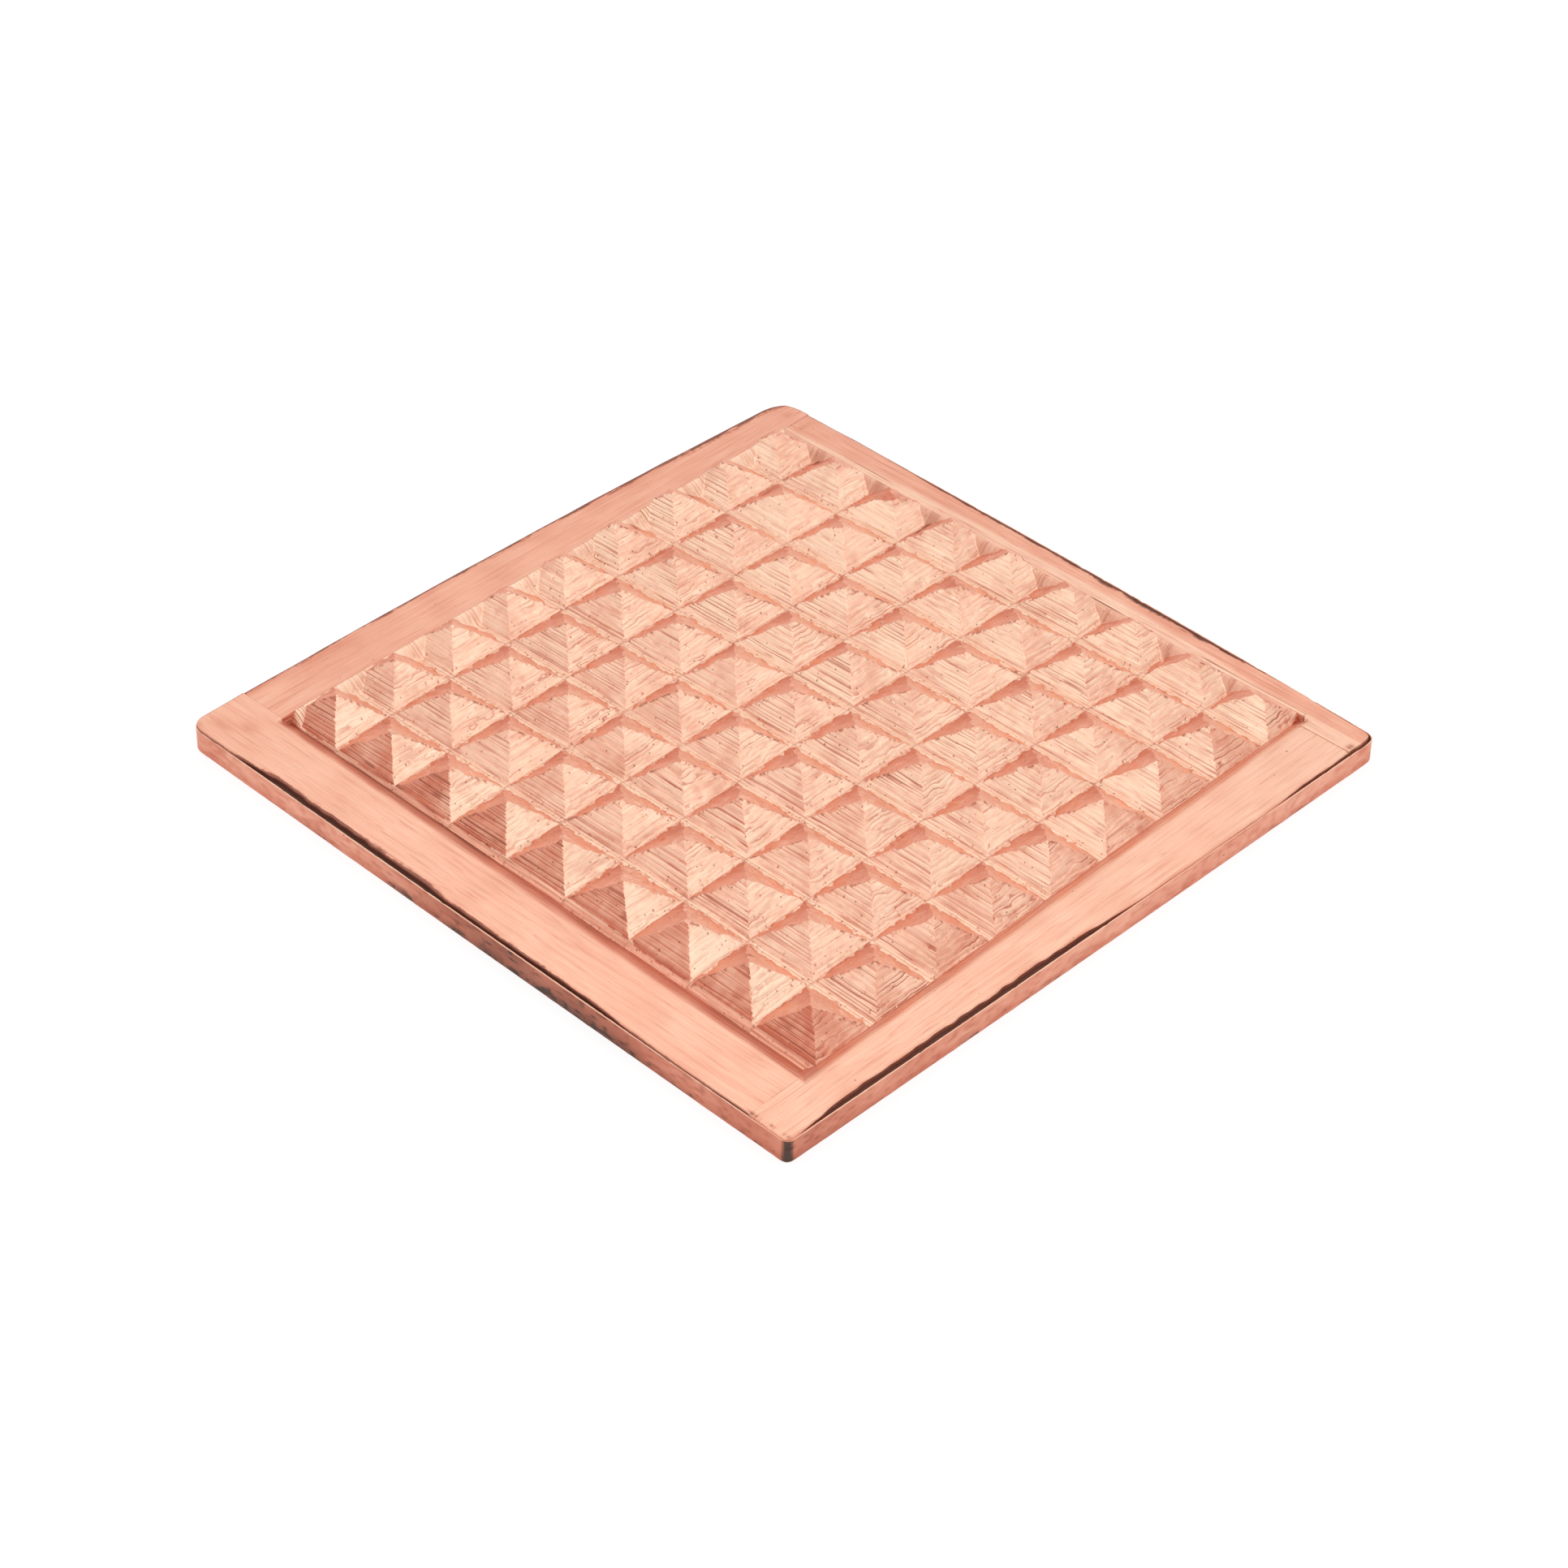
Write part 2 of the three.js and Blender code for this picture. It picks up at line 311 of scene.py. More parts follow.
class Carving:
    """Relief and wear of the field of pyramids, with painted shade and painted highlights, worked out at any
    points of the pocket.
    """

    # Odd pyramids by column from the left and row from the front: the height of blunt ones as a share, how
    # rough some are near the apex, and one with soft ridges
    blunt = {(7, 7): 0.86, (7, 6): 0.84, (4, 5): 0.93, (8, 6): 0.62}
    rough = {(8, 6): 1.0, (5, 7): 0.8, (7, 4): 0.9, (5, 1): 0.7, (3, 6): 0.4}
    melted = (0, 2)

    # How far an apex strays and sinks, and how the strength and the height of the filed steps vary
    apex_stray = 0.13
    apex_sink = 0.09
    strengths = (0.55, 1.1)
    step_sizes = (0.85, 1.25)

    # Pits: the cells of their map, their radius and depth, where they may lie, and which shares of them lie
    # along the grooves
    map_cell = 0.05
    pit_radius = (0.03, 0.08)
    pit_depth = (0.02, 0.07)
    pit_area = (-21.0, 23.5)
    column_pits = 0.38
    row_pits = 0.24

    # How far from the border the grooves begin to run out upwards
    back_run_out = 1.1
    right_run_out = 0.9

    def __init__(self, sizes):
        self.side_step = sizes.side_step / MM
        self.front_step = sizes.front_step / MM
        self.step_share = sizes.step_share
        draw = np.random.default_rng(11)
        field = (COUNT, COUNT)
        self.apex_x = draw.uniform(-self.apex_stray, self.apex_stray, field)
        self.apex_y = draw.uniform(-self.apex_stray, self.apex_stray, field)
        self.sink = draw.uniform(0.0, self.apex_sink, field)
        self.line_strength = draw.uniform(*self.strengths, field)
        self.step_size = draw.uniform(*self.step_sizes, field)
        self.cap = np.ones(field)
        self.patch = np.zeros(field)
        for values, odd_ones in ((self.cap, self.blunt), (self.patch, self.rough)):
            for pyramid, value in odd_ones.items():
                values[pyramid] = value
        self.pit_map = self.stamp_pits(draw, sizes.pits)

    def stamp_pits(self, draw, count):
        """A map of the depth of small round pits."""
        side = int(2 * NOISE_REACH / self.map_cell)
        pits = np.zeros((side, side))
        for _ in range(count):
            x, y = draw.uniform(*self.pit_area, 2)
            along_groove = draw.random()
            if along_groove < self.column_pits:
                line = round((x - FIELD_LEFT) / PITCH)
                x = FIELD_LEFT + line * PITCH + draw.normal(0, 0.22)
            elif along_groove < self.column_pits + self.row_pits:
                line = round((y - FIELD_FRONT) / PITCH)
                y = FIELD_FRONT + line * PITCH + draw.normal(0, 0.2)
            radius = draw.uniform(*self.pit_radius)
            depth = draw.uniform(*self.pit_depth)
            i = (x + NOISE_REACH) / self.map_cell
            j = (y + NOISE_REACH) / self.map_cell
            reach = int(radius / self.map_cell) + 2
            rows = np.arange(int(j) - reach, int(j) + reach + 1)
            columns = np.arange(int(i) - reach, int(i) + reach + 1)
            away = np.hypot(columns[None, :] - i, rows[:, None] - j) * self.map_cell / radius
            spot = np.ix_(rows, columns)
            pits[spot] = np.maximum(pits[spot], depth * np.exp(-away * away * 1.6))
        return pits

    def steps(self, seed, rise, cell, step, wave, fade):
        """Turns an even slope into filed steps. Gives the new rise and the run of steps up to it."""
        shift = 0.6 * smooth_noise(seed, rise * 9.0, cell * 0.7, 1.1, 0.31)
        level = rise / step + shift + wave
        whole = np.floor(level)
        part = level - whole
        tread = (whole + smooth_step(0.35, 1.0, part) - shift - wave) * step
        crease = bell(part - CUT_PLACE, 0.16) * fade
        return rise + (tread - rise) * self.step_share * fade - 0.03 * crease, level

    def set_planes(self, at):
        """The plain planes of the four faces, as heights over the grooves."""
        apex_x = self.apex_x[at.pyramid]
        apex_y = self.apex_y[at.pyramid]
        at.top = RISE - self.sink[at.pyramid]
        at.left = at.top * (at.du + HALF_X) / (HALF_X + apex_x)
        right = at.top * (HALF_X - at.du) / (HALF_X - apex_x)
        narrow = SLOPE_X * (np.interp(at.y, LAST_FOOT_PLACES, LAST_FOOT) - at.x)
        at.right = np.where(at.column == COUNT - 1, np.minimum(right, narrow), right)
        at.front = at.top * (at.dv + HALF_Y) / (HALF_Y + apex_y)
        at.back = at.top * (HALF_Y - at.dv) / (HALF_Y - apex_y)

    def file_faces(self, at):
        """Straight steps on the left faces, wavy and broken ones on the front faces, and rough edges on the
        other two."""
        at.strength = self.line_strength[at.pyramid]
        at.plain = 1.0 - 0.8 * smooth_step(0.05, 0.12, 1.0 - self.cap[at.pyramid])
        size = self.step_size[at.pyramid]
        seed_place = at.column * COUNT + at.row - 40
        side_fade = at.strength * (0.8 + 0.5 * at.noise(21, 0.7, 2.2)) + 0.3 * at.first_column
        front_fade = at.strength * (0.7 + 0.7 * at.noise(22, 1.1, 0.4)) + 0.25 * at.first_row
        side_fade = np.clip(side_fade, 0.1, 1.4) * at.plain
        front_fade = np.clip(front_fade, 0.0, 1.3) * at.plain
        side_wave = 0.12 * at.noise(23, 0.5, 1.6)
        front_wave = 0.35 * at.noise(24, 0.7, 0.6) + 0.12 * at.noise(25, 0.22, 0.3)
        left_cut, at.side_level = self.steps(
            31, at.left, seed_place, self.side_step * size, side_wave, side_fade)
        front_cut, at.front_level = self.steps(
            32, at.front, seed_place, self.front_step * size, front_wave, front_fade)
        at.side_scratch = at.noise(41, 0.11, 1.3)
        at.front_scratch = at.noise(42, 0.8, 0.11)
        at.chips = at.noise(43, 0.16, 0.16)
        at.left_cut = left_cut + 0.02 * at.strength * at.side_scratch
        at.front_cut = front_cut + 0.02 * at.strength * at.front_scratch
        right_cut = at.right + 0.035 * at.chips + 0.10 * at.noise(44, 0.6, 0.4)
        back_cut = at.back + 0.035 * at.chips + 0.11 * at.noise(46, 0.4, 0.6)
        return np.stack([at.left_cut, right_cut, at.front_cut, back_cut])

    def join_faces(self, at, faces):
        """Heights of the pyramids over the grooves, with blunt, soft and rough ones among them."""
        which = np.argmin(faces, axis=0)
        height = np.min(faces, axis=0)
        melted = (at.column == self.melted[0]) & (at.row == self.melted[1])
        softened = -0.2 * np.log(np.sum(np.exp(np.clip(-faces / 0.2, -40, 40)), axis=0)) + 0.1
        height = np.where(melted, softened, height)
        cap = self.cap[at.pyramid] * at.top
        over = smooth_step(-0.25, 0.12, height - cap)
        height = height - over * np.maximum(height - cap, 0.0) * 0.85 - 0.03 * over * (cap < at.top * 0.99)
        at.patch = self.patch[at.pyramid] * smooth_step(1.5, 0.5, np.hypot(at.du - 0.3, at.dv - 0.2))
        at.height = height - at.patch * (0.10 + 0.07 * at.noise(51, 0.22, 0.22))
        at.floor = 0.016 * at.noise(61, 0.14, 3.0) + 0.012 * at.noise(62, 0.3, 0.3)
        at.in_groove = (at.height <= at.floor).astype(float)
        at.on_left, at.on_right, at.on_front, at.on_back = (
            (which == face) * (1 - at.in_groove) for face in range(4))

    def cut_grooves(self, at):
        """The surface with its grooves and pits. On the left and in front the faces go on down into the
        moats."""
        surface = np.maximum(at.height, at.floor)
        surface = np.where(at.column == 0, np.minimum(surface, at.left_cut), surface)
        surface = np.where(at.row == 0, np.minimum(surface, at.front_cut), surface)
        at.in_skirt = smooth_step(0.02, -0.1, surface)

        # The grooves run out upwards where they meet the far borders
        back_out = smooth_step(self.back_run_out, 0.0, rim("back", at.x) - at.y)
        back_out = back_out * smooth_step(0.0, 0.12, at.u)
        right_out = smooth_step(self.right_run_out, 0.0, rim("right", at.y) - at.x)
        right_out = right_out * smooth_step(0.0, 0.08, at.v)
        floor_here = np.minimum(surface, 0.0)
        full = BORDER_TOP - GROOVE_FLOOR - 0.02 - floor_here
        run_out = floor_here + full * np.maximum(back_out, right_out)
        at.raised = smooth_step(0.0, 0.05, run_out - surface)
        at.raised_right = at.raised * (right_out > back_out)
        pit_place = [(value + NOISE_REACH) / self.map_cell for value in (at.x, at.y)]
        at.pits = sample(self.pit_map, *pit_place, False)
        at.surface = np.maximum(surface, run_out) - at.pits + 0.005 * at.noise(71, 0.13, 0.13)

    def tarnish(self, at):
        """How tarnished each point is, with painted shade on the faces turned from the light, on the first
        pyramids' outer faces and low in the moats: which face it lies on matters most.
        """
        near_faces = at.on_left + at.on_front
        low = smooth_step(1.1, 0.0, at.height)
        # Painted shade: each face is painted darker by which way it faces and where it stands, the left faces
        # towards the left and the front faces towards the right, and the right and back faces most, lowest
        # down most of all
        tarnish = at.on_left * (0.10 - 0.10 * at.to_right) + at.on_front * 0.06 * at.to_right
        tarnish += at.on_right * (0.12 + 0.12 * smooth_step(-1.2, 1.6, at.dv) + 0.06 * low)
        tarnish += at.on_back * (0.34 + 0.30 * smooth_step(-0.8, 1.6, at.du) + 0.14 * low)
        # Painted shade on the first column's left faces, darker down in the moat, on the first row's front
        # faces, on the skirts in the moats and on the corner pyramid
        tarnish += at.on_left * at.first_column * (0.50 + 0.45 * smooth_step(0.3, -0.15, at.surface))
        tarnish += at.on_front * at.first_row * 0.30
        tarnish += at.in_skirt * (0.18 + 0.12 * at.first_column)
        tarnish += 0.25 * at.first_column * at.first_row * near_faces
        tarnish += 0.6 * at.patch * (0.6 + 0.4 * at.noise(52, 0.3, 0.3))
        tarnish += (0.20 * at.noise(72, 1.4, 1.4) + 0.10 * at.noise(77, 0.35, 0.35)) * near_faces
        return np.where(at.raised > 0.5, 0.1 + 0.18 * at.raised_right, tarnish)

    def grime(self, at):
        """Dirt in pits, along the ridges and on the rough far edges, and painted shade in the creases: at the
        feet of the left faces and of the far faces, along the row grooves and low in the moat beside the
        first column."""
        near_faces = at.on_left + at.on_front
        side_lines = smooth_step(0.35, 0.9, -at.side_scratch) * at.on_left * (0.3 + 0.35 * at.first_column)
        front_lines = smooth_step(0.45, 0.95, -at.front_scratch) * at.on_front * (0.22 + 0.2 * at.first_row)
        # Painted shade at the feet of the left faces, in the bottoms of the grooves
        foot = bell(at.du + HALF_X, 0.07) * smooth_step(0.35, 0.0, at.height)
        foot = foot * (0.36 + 0.42 * at.noise(74, 0.5, 1.6))
        ridge = bell(at.left - at.front, 0.07) * near_faces * (0.14 + 0.2 * at.chips)
        crust = smooth_step(0.05, 0.75, at.noise(75, 0.14, 0.14) + 0.5 * at.noise(78, 1.0, 1.0))
        far_edge = np.minimum(at.right, at.back)
        upper_crust = 0.75 * crust * bell(np.minimum(at.left, at.front) - far_edge, 0.10)
        # Rough crust with painted shade at the feet of the far faces
        low_crust = 0.6 * crust * bell(far_edge - 0.03, 0.06)
        # Painted shade along the row grooves
        row_line = bell(np.abs(at.dv) - PITCH / 2, 0.08) * 0.4 * smooth_step(0.3, 0.0, at.height)
        marks = marks_at(FIELD_MARKS, at.x, at.y) * np.where(near_faces > 0.5, 0.35, 1.0)
        # Painted shade low in the moat beside the first column, darker towards the back
        trough_shade = at.first_column * at.on_left * smooth_step(0.2, -0.2, at.surface)
        trough_shade = trough_shade * (0.35 + 0.33 * smooth_step(-8.0, 6.0, at.y))
        in_pits = smooth_step(0.008, 0.04, at.pits) * 0.78
        grime = np.maximum.reduce([side_lines + front_lines, foot, ridge, upper_crust, low_crust, row_line,
                                   marks, trough_shade, in_pits])
        return np.where(at.raised > 0.5, np.minimum(grime, 0.25) + 0.22 * at.raised_right, grime)

    def polish(self, at):
        """How bright each point is: rubbed metal, with painted light on the faces by which way they face,
        painted glints in streaks on the front faces and painted highlights on the groove floors.
        """
        streaks = smooth_step(0.05, 0.8, at.noise(76, 0.9, 0.16))
        # Painted light: the left, front and right faces are painted brighter by which way they face and where
        # they stand
        polish = at.on_left * (0.50 + 0.35 * at.to_right) + at.on_front * (0.62 - 0.05 * at.to_right)
        polish += 0.35 * at.on_right
        # Painted glints in streaks on the front faces, and painted light on the first column's front faces
        polish += 0.5 * at.on_front * streaks * (1 - 0.7 * at.first_row)
        polish += 0.4 * at.on_front * at.first_column * (1 - at.first_row)
        # Painted highlights on the groove floors and where the grooves run out
        polish += 0.85 * np.maximum(at.in_groove, at.raised) * (1 - at.in_skirt)
        return polish

    def lining(self, at):
        """How strongly the filed lines show on the left and front faces."""
        side_broken = smooth_step(-0.8, 0.5, at.noise(73, 0.5, 2.4)) * (0.75 + 0.25 * at.first_column)
        front_broken = smooth_step(-0.6, 0.7, at.noise(79, 2.0, 0.5)) * (0.6 + 0.3 * at.first_row)
        front_broken = front_broken * (1 - 0.3 * at.first_column * (1 - at.first_row))
        lining = at.on_left * side_broken + at.on_front * front_broken
        return np.maximum(lining, 0.8 * at.first_column * at.on_left) * (0.45 + 0.6 * at.strength) * at.plain

    def relief(self, x, y):
        """Height, wear with painted shade and painted highlights, and runs of steps at points in millimetres.
        """
        at = Spots(x, y)
        self.set_planes(at)
        self.join_faces(at, self.file_faces(at))
        self.cut_grooves(at)
        return {
            "height": np.clip(GROOVE_FLOOR + at.surface, POCKET_FLOOR + 0.03, APEX),
            "tarnish": self.tarnish(at),
            "grime": self.grime(at),
            "polish": self.polish(at),
            "turn": at.on_front + at.on_back,
            "lining": self.lining(at),
            "side_level": at.side_level,
            "front_level": at.front_level,
        }


# Only the outline's own points lie this far out, and those of its broken edges this near its top or underside
OUTER_BAND = 24.2
BROKEN_EDGE = 0.03


def plate_outline():
    """The base's outline as points in order, from its own solid."""
    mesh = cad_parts["base_plate"].data
    points = np.array([v.co for v in mesh.vertices]) / MM
    middle_band = points[(points[:, 2] > BROKEN_EDGE) & (points[:, 2] < SEAT - BROKEN_EDGE)]
    spots = np.unique(np.round(middle_band[:, :2], 4), axis=0)
    spots = spots[np.max(np.abs(spots), axis=1) > OUTER_BAND]
    return spots[np.argsort(np.arctan2(spots[:, 1], spots[:, 0]))]


OUTLINE = plate_outline()


def side_points(side):
    """The outline's points along one side, from corner to corner, going round anticlockwise."""
    order = SIDES.index(side)
    corners = (CORNER_WAYS[order], CORNER_WAYS[(order + 1) % 4])
    start, end = (int(np.argmax(OUTLINE @ np.array(way))) for way in corners)
    if end <= start:
        end += len(OUTLINE)
    return OUTLINE[np.arange(start, end + 1) % len(OUTLINE)]


def travelled(points):
    """The share of a line's length at each of its points."""
    lengths = np.hypot(*np.diff(points, axis=0).T)
    distances = np.concatenate([[0.0], np.cumsum(lengths)])
    return distances / distances[-1]


def resample(points, shares):
    """Points at the given shares of a line's length."""
    known = travelled(points)
    return np.stack([np.interp(shares, known, points[:, axis]) for axis in (0, 1)], axis=1)


def add_object(name, data):
    """Puts a new object with the given data into the scene."""
    item = bpy.data.objects.new(name, data)
    bpy.context.scene.collection.objects.link(item)
    return item


def finish_mesh(name, bm, slot, material):
    """Makes the piece's object, hides the solid it stands for, and gives it its material."""
    mesh = bpy.data.meshes.new(name)
    bm.to_mesh(mesh)
    bm.free()
    mesh.materials.append(material)
    piece = add_object(name, mesh)
    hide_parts(slot)
    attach(piece, "root")
    return piece


def new_bmesh():
    """An empty mesh with room for what its vertices tell the material."""
    bm = bmesh.new()
    for key in WEAR_AND_LIGHT + LEVELS:
        bm.verts.layers.float.new(key)
    return bm


def new_sheet(across, along):
    """An even net of vertices, and each vertex's place in it from 0 to 1."""
    bm = new_bmesh()
    bmesh.ops.create_grid(bm, x_segments=across, y_segments=along, size=1)
    grid = np.array([vert.co[:2] for vert in bm.verts])
    return bm, (grid[:, 0] + 1) / 2, (grid[:, 1] + 1) / 2


def set_relief(bm, verts, places, values):
    """Moves vertices to their places, in millimetres, and stores what the material reads from them."""
    layers = [bm.verts.layers.float[key] for key in WEAR_AND_LIGHT + LEVELS]
    columns = [np.clip(values[key], 0, 1) for key in WEAR_AND_LIGHT] + [values[key] for key in LEVELS]
    wear_and_light = np.stack([np.broadcast_to(column, len(places)) for column in columns], axis=1).tolist()
    for vert, place, amounts in zip(verts, (places * MM).tolist(), wear_and_light):
        vert.co = place
        for layer, amount in zip(layers, amounts):
            vert[layer] = amount


def of_kind(items, kind):
    return [item for item in items if isinstance(item, kind)]


def fill(bm, loops):
    """Closes loops with flat faces, and turns all faces outwards."""
    faces = [face for loop in loops for face in bmesh.ops.contextual_create(bm, geom=loop)["faces"]]
    bmesh.ops.triangulate(bm, faces=faces, quad_method="BEAUTY", ngon_method="BEAUTY")
    bmesh.ops.recalc_face_normals(bm, faces=bm.faces)


def close_slab(bm, bottom):
    """Gives an open sheet straight sides down to the given height and a flat underside."""
    for face in bm.faces:
        face.smooth = True
    edges = [edge for edge in bm.edges if edge.is_boundary]
    sides = bmesh.ops.extrude_edge_only(bm, edges=edges)["geom"]
    for vert in of_kind(sides, bmesh.types.BMVert):
        vert.co.z = bottom * MM
    for face in of_kind(sides, bmesh.types.BMFace):
        face.smooth = False
    fill(bm, [[edge for edge in of_kind(sides, bmesh.types.BMEdge) if edge.is_boundary]])


def trough(side, along, foot):
    """Where a moat's flank meets the skirt of the first pyramids, whose foot is given at places along it."""
    run = (BORDER_TOP - GROOVE_FLOOR) / WALL_SLOPE[side]
    return (rim(side, along) + foot + run) / 2


def build_bar(number, carving, cell, material):
    """One bar: a fine grid between the middles of two grooves, carved and closed below."""
    low_x = FIELD_LEFT + number * PITCH
    length = rim("back", 0.0) - FIELD_FRONT
    bm, s, t = new_sheet(round(PITCH / cell), round(length / cell))
    even_y = FIELD_FRONT + t * length
    left_x, right_x = (edge + stray(np.full_like(t, edge), even_y)[0] for edge in (low_x, low_x + PITCH))
    if number == 0:
        left_x = trough("left", even_y, left_x + COLUMN_GAP / 2)
    if number == COUNT - 1:
        right_x = rim("right", even_y)
    x = left_x + s * (right_x - left_x)
    foot = FIELD_FRONT + ROW_GAP / 2 + stray(x, np.full_like(x, FIELD_FRONT))[1]
    front_y = trough("front", x, foot)
    y = front_y + t * (rim("back", x) - front_y)
    values = carving.relief(x, y)
    set_relief(bm, bm.verts, np.stack([x, y, values["height"]], axis=1), values)
    close_slab(bm, POCKET_FLOOR)
    piece = finish_mesh(f"carved_bar_{number + 1}", bm, BAR_NAMES[number], material)


# Border strips

# The net of each strip, and how much closer together its lines lie near its inner and outer edges
STRIP_ALONG = 420
STRIP_ACROSS = 48
PACKING = 0.7

# The seam by the rim: its width where it is closed, how much the open stretches vary, the length of a side
# for the patterns along it, and the stretches where each side's seam is open, as (how far it opens, and the
# shares of the side at which it starts, is fully open, begins to close and ends)
SEAM_REST = 0.10
SEAM_RAGGED = 0.18
SIDE_LENGTH = 50.0
SEAM_STRETCHES = {
    "front": ((1.0, 0.0, 0.10, 0.44, 0.58), (0.4, 0.80, 0.88, 2.0, 3.0)),
    "right": ((0.5, 0.12, 0.25, 0.70, 0.82),),
    "back": (),
    "left": ((1.0, 0.07, 0.16, 0.40, 0.50), (0.5, 0.1, 0.2, 0.70, 0.76)),
}

# How far the right strip reaches in over the front border, and how high over the seat the strips' inner
# edges lie
RIGHT_REACH = 0.85
EDGE_LIFT = 0.015

# How deep the grain lies on each strip, how far the pocket's rounded edge reaches, and how far in from the
# outer edge the tarnish begins
GRAIN_DEPTH = {"front": 0.75, "right": 1.4, "back": 1.1, "left": 0.7}
SHOULDER = 0.12
TARNISHED_EDGE = {"front": 0.3, "right": 0.3, "back": 0.55, "left": 0.3}

# The right strip is bright beside the pocket as far as a soft crease, at places along it
BAND_PLACES = (-26.0, -18.0, -8.0, 8.0, 15.0, 21.0)
BAND_EDGES = (23.3, 23.45, 24.1, 24.1, 23.8, 23.5)

# Dark outer edges: places along a side, how wide the dirt lies there, and its strength
EDGE_DIRT = {
    "front": ((-26.0, 26.0), (0.05, 0.05), 0.3),
    "right": ((-26.0, -18.0, -12.0, -6.0, 2.0, 12.0, 20.0), (0.14, 0.2, 0.46, 0.46, 0.3, 0.16, 0.1), 0.95),
    "back": ((-26.0, -20.0, 0.0, 12.0, 22.0), (0.45, 0.3, 0.36, 0.5, 0.55), 0.84),
    "left": ((-26.0, -20.0, 3.0, 8.0, 18.0, 22.0, 26.0), (0.12, 0.06, 0.2, 0.3, 0.3, 0.1, 0.1), 0.8),
}

# The height of a filed step on the moats' flanks, and how strongly the steps show on the left and front ones
FLANK_STEP = 0.15
LEFT_LINING = 0.95
FRONT_LINING = 0.7


def seam_opening(side, share):
    """How far the seam by the rim is open along a side, from 0 to 1."""
    opening = np.zeros_like(share)
    for amount, start, full, closing, end in SEAM_STRETCHES[side]:
        stretch = smooth_step(start, full, share) * smooth_step(end, closing, share)
        opening = np.maximum(opening, amount * stretch)
    return opening


def outer_edge(side, shares, inset):
    """Points along the outline's side, drawn in by inset."""
    known = side_points(side)
    ahead, behind = (resample(known, np.clip(shares + step, 0, 1)) for step in (0.002, -0.002))
    run = ahead - behind
    run /= np.hypot(run[:, 0], run[:, 1])[:, None]
    inward = np.stack([-run[:, 1], run[:, 0]], axis=1)
    return resample(known, shares) + inward * inset[:, None]


def seam_line(side, seam):
    """Where strips end beside the rim along a side, as a function of the share along it."""
    seed = 81 + SIDES.index(side)

    def line(shares):
        place = shares * SIDE_LENGTH - SIDE_LENGTH / 2
        ragged = 1 + SEAM_RAGGED * line_noise(seed, place, 0.7)
        wave = 0.02 * line_noise(seed + 4, place, 2.2)
        inset = SEAM_REST + (seam - SEAM_REST) * seam_opening(side, shares) * ragged + wave
        return outer_edge(side, shares, inset)
    return line


def share_at(side, axis, value):
    """The share of a side's length at which it crosses a line of constant x or y."""
    points = side_points(side)
    way = 1 if points[-1, axis] > points[0, axis] else -1
    return float(np.interp(way * value, way * points[:, axis], travelled(points)))


def coons(inner, outer, start, end, s, t):
    """Fills four edges with an even net. inner and outer run along s, start and end along t."""
    s2 = s[:, None]
    t2 = t[:, None]
    first = np.zeros(1)
    last = np.ones(1)
    corners = ((1 - s2) * (1 - t2) * inner(first) + s2 * (1 - t2) * inner(last)
               + (1 - s2) * t2 * outer(first) + s2 * t2 * outer(last))
    return inner(s) * (1 - t2) + outer(s) * t2 + start(t) * (1 - s2) + end(t) * s2 - corners


def line_between(first, last):
    """A straight line as a function of the share along it."""
    def line(share):
        return first * (1 - share[:, None]) + last * share[:, None]
    return line


def pocket_corner(side, other, height):
    """Where the pocket walls of two neighbouring sides meet at a height."""
    x_side, y_side = (side, other) if axis_along(side) == 1 else (other, side)
    x = rim(x_side, 0.0, height)
    for _ in range(4):
        y = rim(y_side, x, height)
        x = rim(x_side, y, height)
    return np.array([x, y])


def wall_line(side, height):
    """A side's pocket wall at a height, from corner to corner, as a function of the share along it."""
    before, after = neighbours(side)
    along = axis_along(side)
    first = pocket_corner(before, side, height)[along]
    last = pocket_corner(side, after, height)[along]

    def line(share):
        place = first + share * (last - first)
        across = rim(side, place, height)
        return np.stack([place, across] if along == 0 else [across, place], axis=1)
    return line


def strip_edges(side, seam):
    """The four edges of a strip's top. It starts at its side's first corner and ends at the next strip."""
    before, after = neighbours(side)
    along = axis_along(side)
    height = SEAT + EDGE_LIFT
    forward = 1 if side in ("front", "right") else -1
    edge_before = seam_line(before, seam)
    edge_own = seam_line(side, seam)

    # The strip's own inner line runs straight on from the pocket's corner to the outline of the side before
    bend = pocket_corner(before, side, height)
    if side == "right":
        bend[1 - along] -= RIGHT_REACH
    start_share = share_at(before, 1 - along, bend[1 - along])

    def start(t):
        return edge_before(start_share + t * (1 - start_share))

    # The end lies against the next strip
    end_place = pocket_corner(side, after, height)[along]
    if after == "right":
        end_place -= forward * RIGHT_REACH
    end_share = share_at(side, along, end_place)

    def outer(s):
        return edge_own(s * end_share)

    # Between the two the inner line follows the pocket's wall
    wall_run = wall_line(side, height)(np.linspace(0, 1, 40))
    wall_run = wall_run[(wall_run[:, along] - end_place) * forward < 0]
    last = wall_run[-1].copy()
    last[along] = end_place
    inner_points = np.vstack([start(np.zeros(1))[0], bend, wall_run, last])

    def inner(s):
        return resample(inner_points, s)

    return inner, outer, start, line_between(last, outer(np.ones(1))[0])


def flank_levels(depth, along):
    """The runs of filed steps on a moat's flank at a depth below the border's top."""
    levels = {}
    for key, seed in zip(LEVELS, (207, 209)):
        level = depth / FLANK_STEP + 0.5 * smooth_noise(seed, depth * 9.0, along, 1.1, 9.0)
        levels[key] = level + 0.15 * smooth_noise(seed + 1, along, depth * 4.0, 1.5, 1.0)
    return levels


